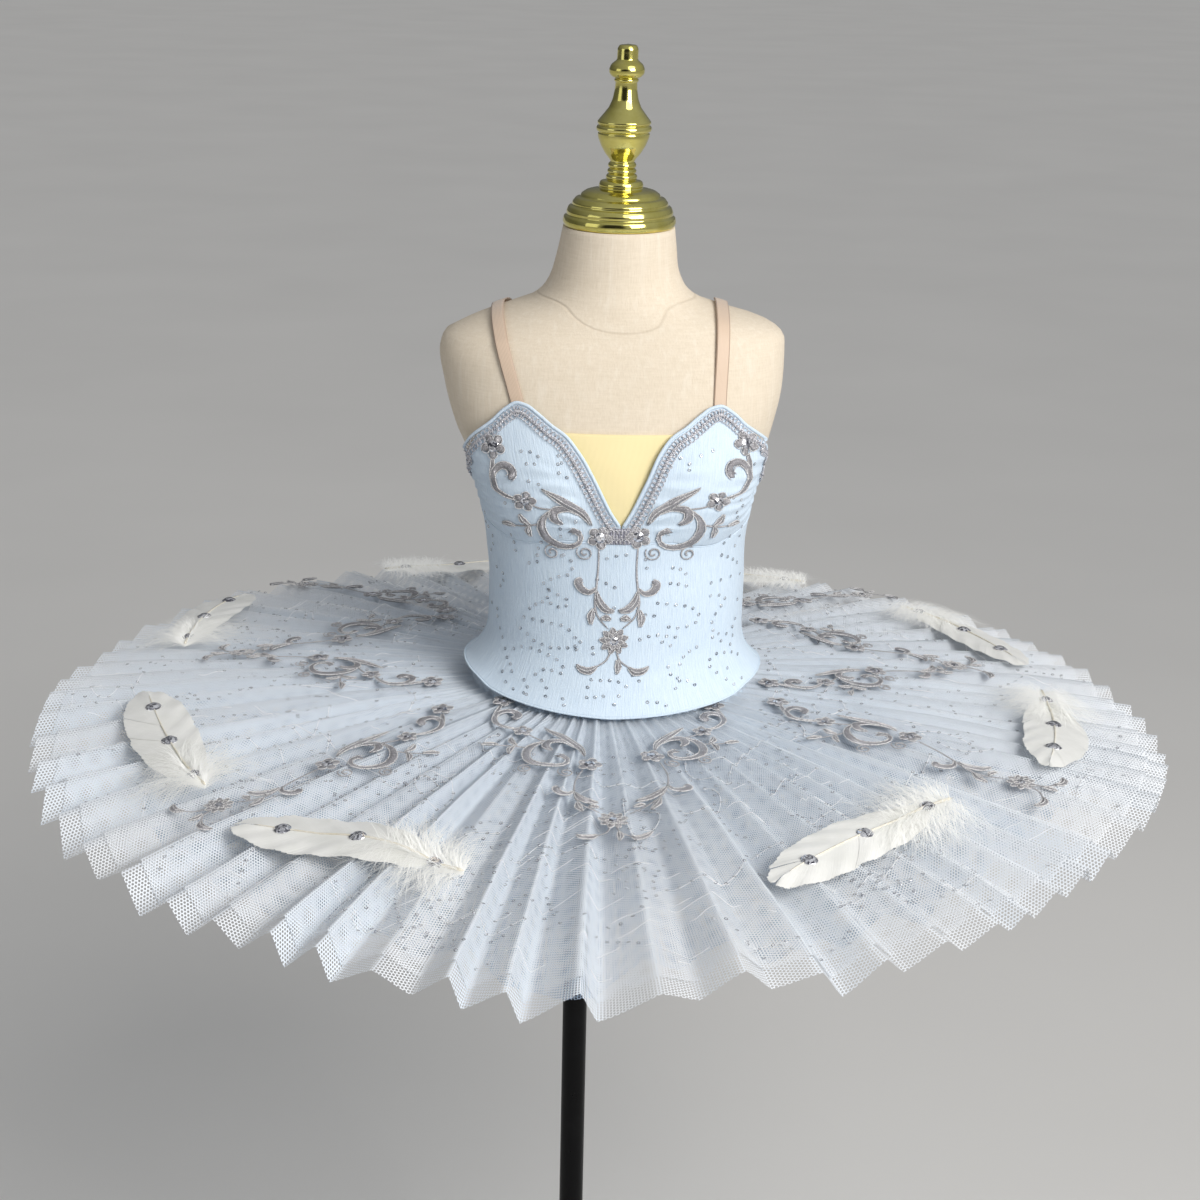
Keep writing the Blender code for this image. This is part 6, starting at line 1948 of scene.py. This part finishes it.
def studio_floor():
    """A pale level floor that reaches past the horizon of the view."""
    made = Surface("studio_floor", {"Roughness": 0.8, "Specular IOR Level": 0.2})
    broad = made.noise(made.object_place(), 1.4, 3.0)
    fine = made.noise(made.object_place(), 140.0, 3.0)
    tint = looks().floor
    made.set("Base Color", made.mix(broad.ranged(0.3, 0.7), tint, darker(tint, 0.96)))
    made.bump(fine, 0.0003, 0.3)
    mesh = bpy.data.meshes.new("studio_floor")
    sides = (-1, -1), (1, -1), (1, 1), (-1, 1)
    corners = [(x * FLOOR_REACH, y * FLOOR_REACH, 0.0) for x, y in sides]
    mesh.from_pydata(corners, [], [(0, 1, 2, 3)])
    mesh.materials.append(made.material)
    linked("studio_floor", mesh)


def lamp(kind, name, place, power, tint, **settings):
    """A soft lamp that shines from a place towards the bodice; an area isn't seen itself."""
    light = bpy.data.lights.new(name, kind)
    light.energy, light.color = power, tint
    for setting, value in settings.items():
        setattr(light, setting, value)
    made = linked(name, light)
    made.visible_camera = kind == "SUN"
    made.location = place
    towards = Vector(LIGHT_AIM) - Vector(place)
    made.rotation_euler = towards.to_track_quat("-Z", "Y").to_euler()


def studio_lights():
    """Soft daylight and a key from the front right, a weak fill at the left, and a graded room.

    The room is brightest where the daylight comes from and darkest opposite to it, and a dark
    patch at the front gives polished pieces their dark reflections. The camera sees it plain.
    """
    wide = math.radians(40.0)
    lamp("SUN", "daylight", (1.6, -2.3, 3.1), 0.74, (1.0, 0.985, 0.96), angle=wide)
    lamp("AREA", "key_light", (1.2, -1.5, 1.9), 31.0, (1.0, 0.99, 0.97), size=1.0)
    lamp("AREA", "fill_light", (-2.6, -1.6, 2.0), 6.0, (0.95, 0.975, 1.0), size=1.6)
    world = bpy.data.worlds.new("studio")
    bpy.context.scene.world = world
    world.use_nodes = True
    room = Nodes(world.node_tree)
    backdrop = room.tree.nodes["Background"]
    room.join((0.93, 0.96, 1.0, 1.0), backdrop.inputs["Color"])
    place = room.add("ShaderNodeTexCoord", {}, output="Generated")
    shares = []
    for side, span in ROOM_GRADES:
        kind, settings = "ShaderNodeVectorMath", {"operation": "DOT_PRODUCT"}
        towards = room.add(kind, settings, place, Vector(side).normalized(), output="Value")
        shares.append(towards.ranged(*span))
    seen = room.add("ShaderNodeLightPath", {}, output="Is Camera Ray")
    strength = room.add("ShaderNodeMix", {}, seen, shares[0] * shares[1], 0.39)
    room.join(strength, backdrop.inputs["Strength"])
    bpy.context.scene.view_settings.view_transform = "Standard"


def studio_camera():
    """The photograph's view: from just above the bodice, tilted down, with a slight roll."""
    camera = bpy.data.cameras.new("photo_view")
    camera.lens, camera.sensor_width = 64.5, 36.0
    camera.clip_start, camera.clip_end = 0.05, 300.0
    view = linked("photo_view", camera)
    tilt, roll = [math.radians(angle) for angle in (90.0 - 18.6, 1.3)]
    turned_by = Matrix.Rotation(tilt, 3, "X") @ Matrix.Rotation(roll, 3, "Z")
    view.location, view.rotation_euler = (0.014, -1.67, 1.40), turned_by.to_euler()
    bpy.context.scene.camera = view


def colour(name, description, default):
    """A colour that a user may change."""
    return bpy.props.FloatVectorProperty(
        name=name, description=description, default=default, size=4, min=0.0, max=1.0,
        subtype="COLOR",
    )


def length(name, description, default):
    """A small size that a user may change, in metres."""
    return bpy.props.FloatProperty(
        name=name, description=description, default=default, min=default / 3, max=default * 3,
        precision=5, subtype="DISTANCE", unit="LENGTH",
    )


class TutuLooks(bpy.types.PropertyGroup):
    """Colours of the cloths, threads and the form."""

    cloth: colour("Cloth", "Pale-blue stretch cloth in the light", (0.74, 0.85, 0.95, 1.0))
    cloth_shade: colour("Cloth, dark", "The same cloth in its crinkles", (0.60, 0.72, 0.85, 1.0))
    insert: colour("Insert", "Yellow jersey behind the V", (0.99, 0.84, 0.47, 1.0))
    linen: colour("Linen", "Cover of the form, light threads", (0.83, 0.73, 0.595, 1.0))
    linen_shade: colour("Linen, dark", "Cover of the form, dark threads", (0.72, 0.62, 0.485, 1.0))
    silver: colour("Silver thread", "Stitches in the light", (0.68, 0.66, 0.69, 1.0))
    silver_shade: colour("Silver, dark", "Gaps between the stitches", (0.18, 0.17, 0.185, 1.0))
    net_hem: colour("Net at the hem", "The stiff net at its hem", (0.90, 0.91, 0.93, 1.0))
    # Near the hip: darker and bluer than at the hem, partly painted shade
    net_hip_shaded: colour("Net at the hip", "The stiff net near the hip", (0.66, 0.735, 0.82, 1.0))
    floor: colour("Floor", "The studio floor", (0.80, 0.78, 0.75, 1.0))


class TutuSizes(bpy.types.PropertyGroup):
    """Sizes of the fine detail."""

    net_cell: length("Net cell", "Distance between the stiff net's holes", 0.0027)
    tulle_cell: length("Tulle cell", "Distance between the overlay's holes", 0.0023)
    stone: length("Stone radius", "Radius of the cut stones", 0.0045)


def looks():
    """The colours that the panel shows."""
    return bpy.context.scene.tutu_looks


def sizes():
    """The sizes that the panel shows."""
    return bpy.context.scene.tutu_sizes


class Builder:
    """What each operator does: it runs its steps in turn."""

    steps = ()

    def execute(self, context):
        for build in self.steps:
            build()
        return {"FINISHED"}


class TUTU_OT_form(Builder, bpy.types.Operator):
    """Build the linen torso and the gold cap on its neck"""

    bl_idname = "tutu.form"
    bl_label = "Torso and cap"
    steps = (torso, neck_cap)


class TUTU_OT_stand(Builder, bpy.types.Operator):
    """Build the pole and the round base"""

    bl_idname = "tutu.stand"
    bl_label = "Stand"
    steps = (stand,)


class TUTU_OT_bodice(Builder, bpy.types.Operator):
    """Build the bodice's panels, cups, seams and the insert"""

    bl_idname = "tutu.bodice"
    bl_label = "Bodice"
    steps = (bodice_panels, cups, insert)


class TUTU_OT_trims(Builder, bpy.types.Operator):
    """Build the binding and the looped braid along the cups"""

    bl_idname = "tutu.trims"
    bl_label = "Neck trims"
    steps = (neck_trims,)


class TUTU_OT_straps(Builder, bpy.types.Operator):
    """Build the elastic straps"""

    bl_idname = "tutu.straps"
    bl_label = "Straps"
    steps = (straps,)


class TUTU_OT_brief(Builder, bpy.types.Operator):
    """Build the brief"""

    bl_idname = "tutu.brief"
    bl_label = "Brief"
    steps = (brief,)


class TUTU_OT_skirt(Builder, bpy.types.Operator):
    """Build the pleated net, the overlay and the layers below them"""

    bl_idname = "tutu.skirt"
    bl_label = "Skirt"
    steps = (top_layers, under_layers)


class TUTU_OT_appliques(bpy.types.Operator):
    """Build the embroidered scrolls on the bodice and the skirt"""

    bl_idname = "tutu.appliques"
    bl_label = "Appliques"

    def execute(self, context):
        finish = silver_thread("silver_thread", looks().silver, looks().silver_shade)
        bodice_appliques(finish)
        skirt_motifs(finish)
        return {"FINISHED"}


class TUTU_OT_feathers(Builder, bpy.types.Operator):
    """Build the feathers with their stones"""

    bl_idname = "tutu.feathers"
    bl_label = "Feathers"
    steps = (feathers,)


class TUTU_OT_sequins(Builder, bpy.types.Operator):
    """Sew sequins and silver threads on the bodice and the overlay"""

    bl_idname = "tutu.sequins"
    bl_label = "Sequins and threads"
    steps = (bodice_sequins, skirt_sequins, skirt_threads)


class TUTU_OT_stage(Builder, bpy.types.Operator):
    """Build the floor, the soft lights and the photograph's camera"""

    bl_idname = "tutu.stage"
    bl_label = "Stage"
    steps = (studio_floor, studio_lights, studio_camera)


OPERATORS = (
    TUTU_OT_stage,
    TUTU_OT_form,
    TUTU_OT_stand,
    TUTU_OT_bodice,
    TUTU_OT_trims,
    TUTU_OT_straps,
    TUTU_OT_brief,
    TUTU_OT_skirt,
    TUTU_OT_appliques,
    TUTU_OT_feathers,
    TUTU_OT_sequins,
)


class TUTU_PT_panel(bpy.types.Panel):
    """Lists the colours, the sizes and the pieces"""

    bl_label = "Ballet tutu"
    bl_idname = "TUTU_PT_panel"
    bl_space_type = "VIEW_3D"
    bl_region_type = "UI"
    bl_category = "Tutu"

    def draw(self, context):
        for group in (context.scene.tutu_looks, context.scene.tutu_sizes):
            for name in group.__annotations__:
                self.layout.prop(group, name)
        for operator in OPERATORS:
            self.layout.operator(operator.bl_idname)


CLASSES = (TutuLooks, TutuSizes, *OPERATORS, TUTU_PT_panel)


def register():
    """Adds the classes and their settings to Blender."""
    for kind in CLASSES:
        bpy.utils.register_class(kind)
    bpy.types.Scene.tutu_looks = bpy.props.PointerProperty(type=TutuLooks)
    bpy.types.Scene.tutu_sizes = bpy.props.PointerProperty(type=TutuSizes)


def unregister():
    """Takes the settings and the classes out again."""
    del bpy.types.Scene.tutu_looks, bpy.types.Scene.tutu_sizes
    for kind in reversed(CLASSES):
        bpy.utils.unregister_class(kind)


def main():
    """Builds the whole scene."""
    register()
    bpy.ops.tutu.stage()
    bpy.ops.tutu.form()
    bpy.ops.tutu.stand()
    bpy.ops.tutu.bodice()
    bpy.ops.tutu.trims()
    bpy.ops.tutu.straps()
    bpy.ops.tutu.brief()
    bpy.ops.tutu.skirt()
    bpy.ops.tutu.appliques()
    bpy.ops.tutu.feathers()
    bpy.ops.tutu.sequins()


if __name__ == "__main__":
    main()
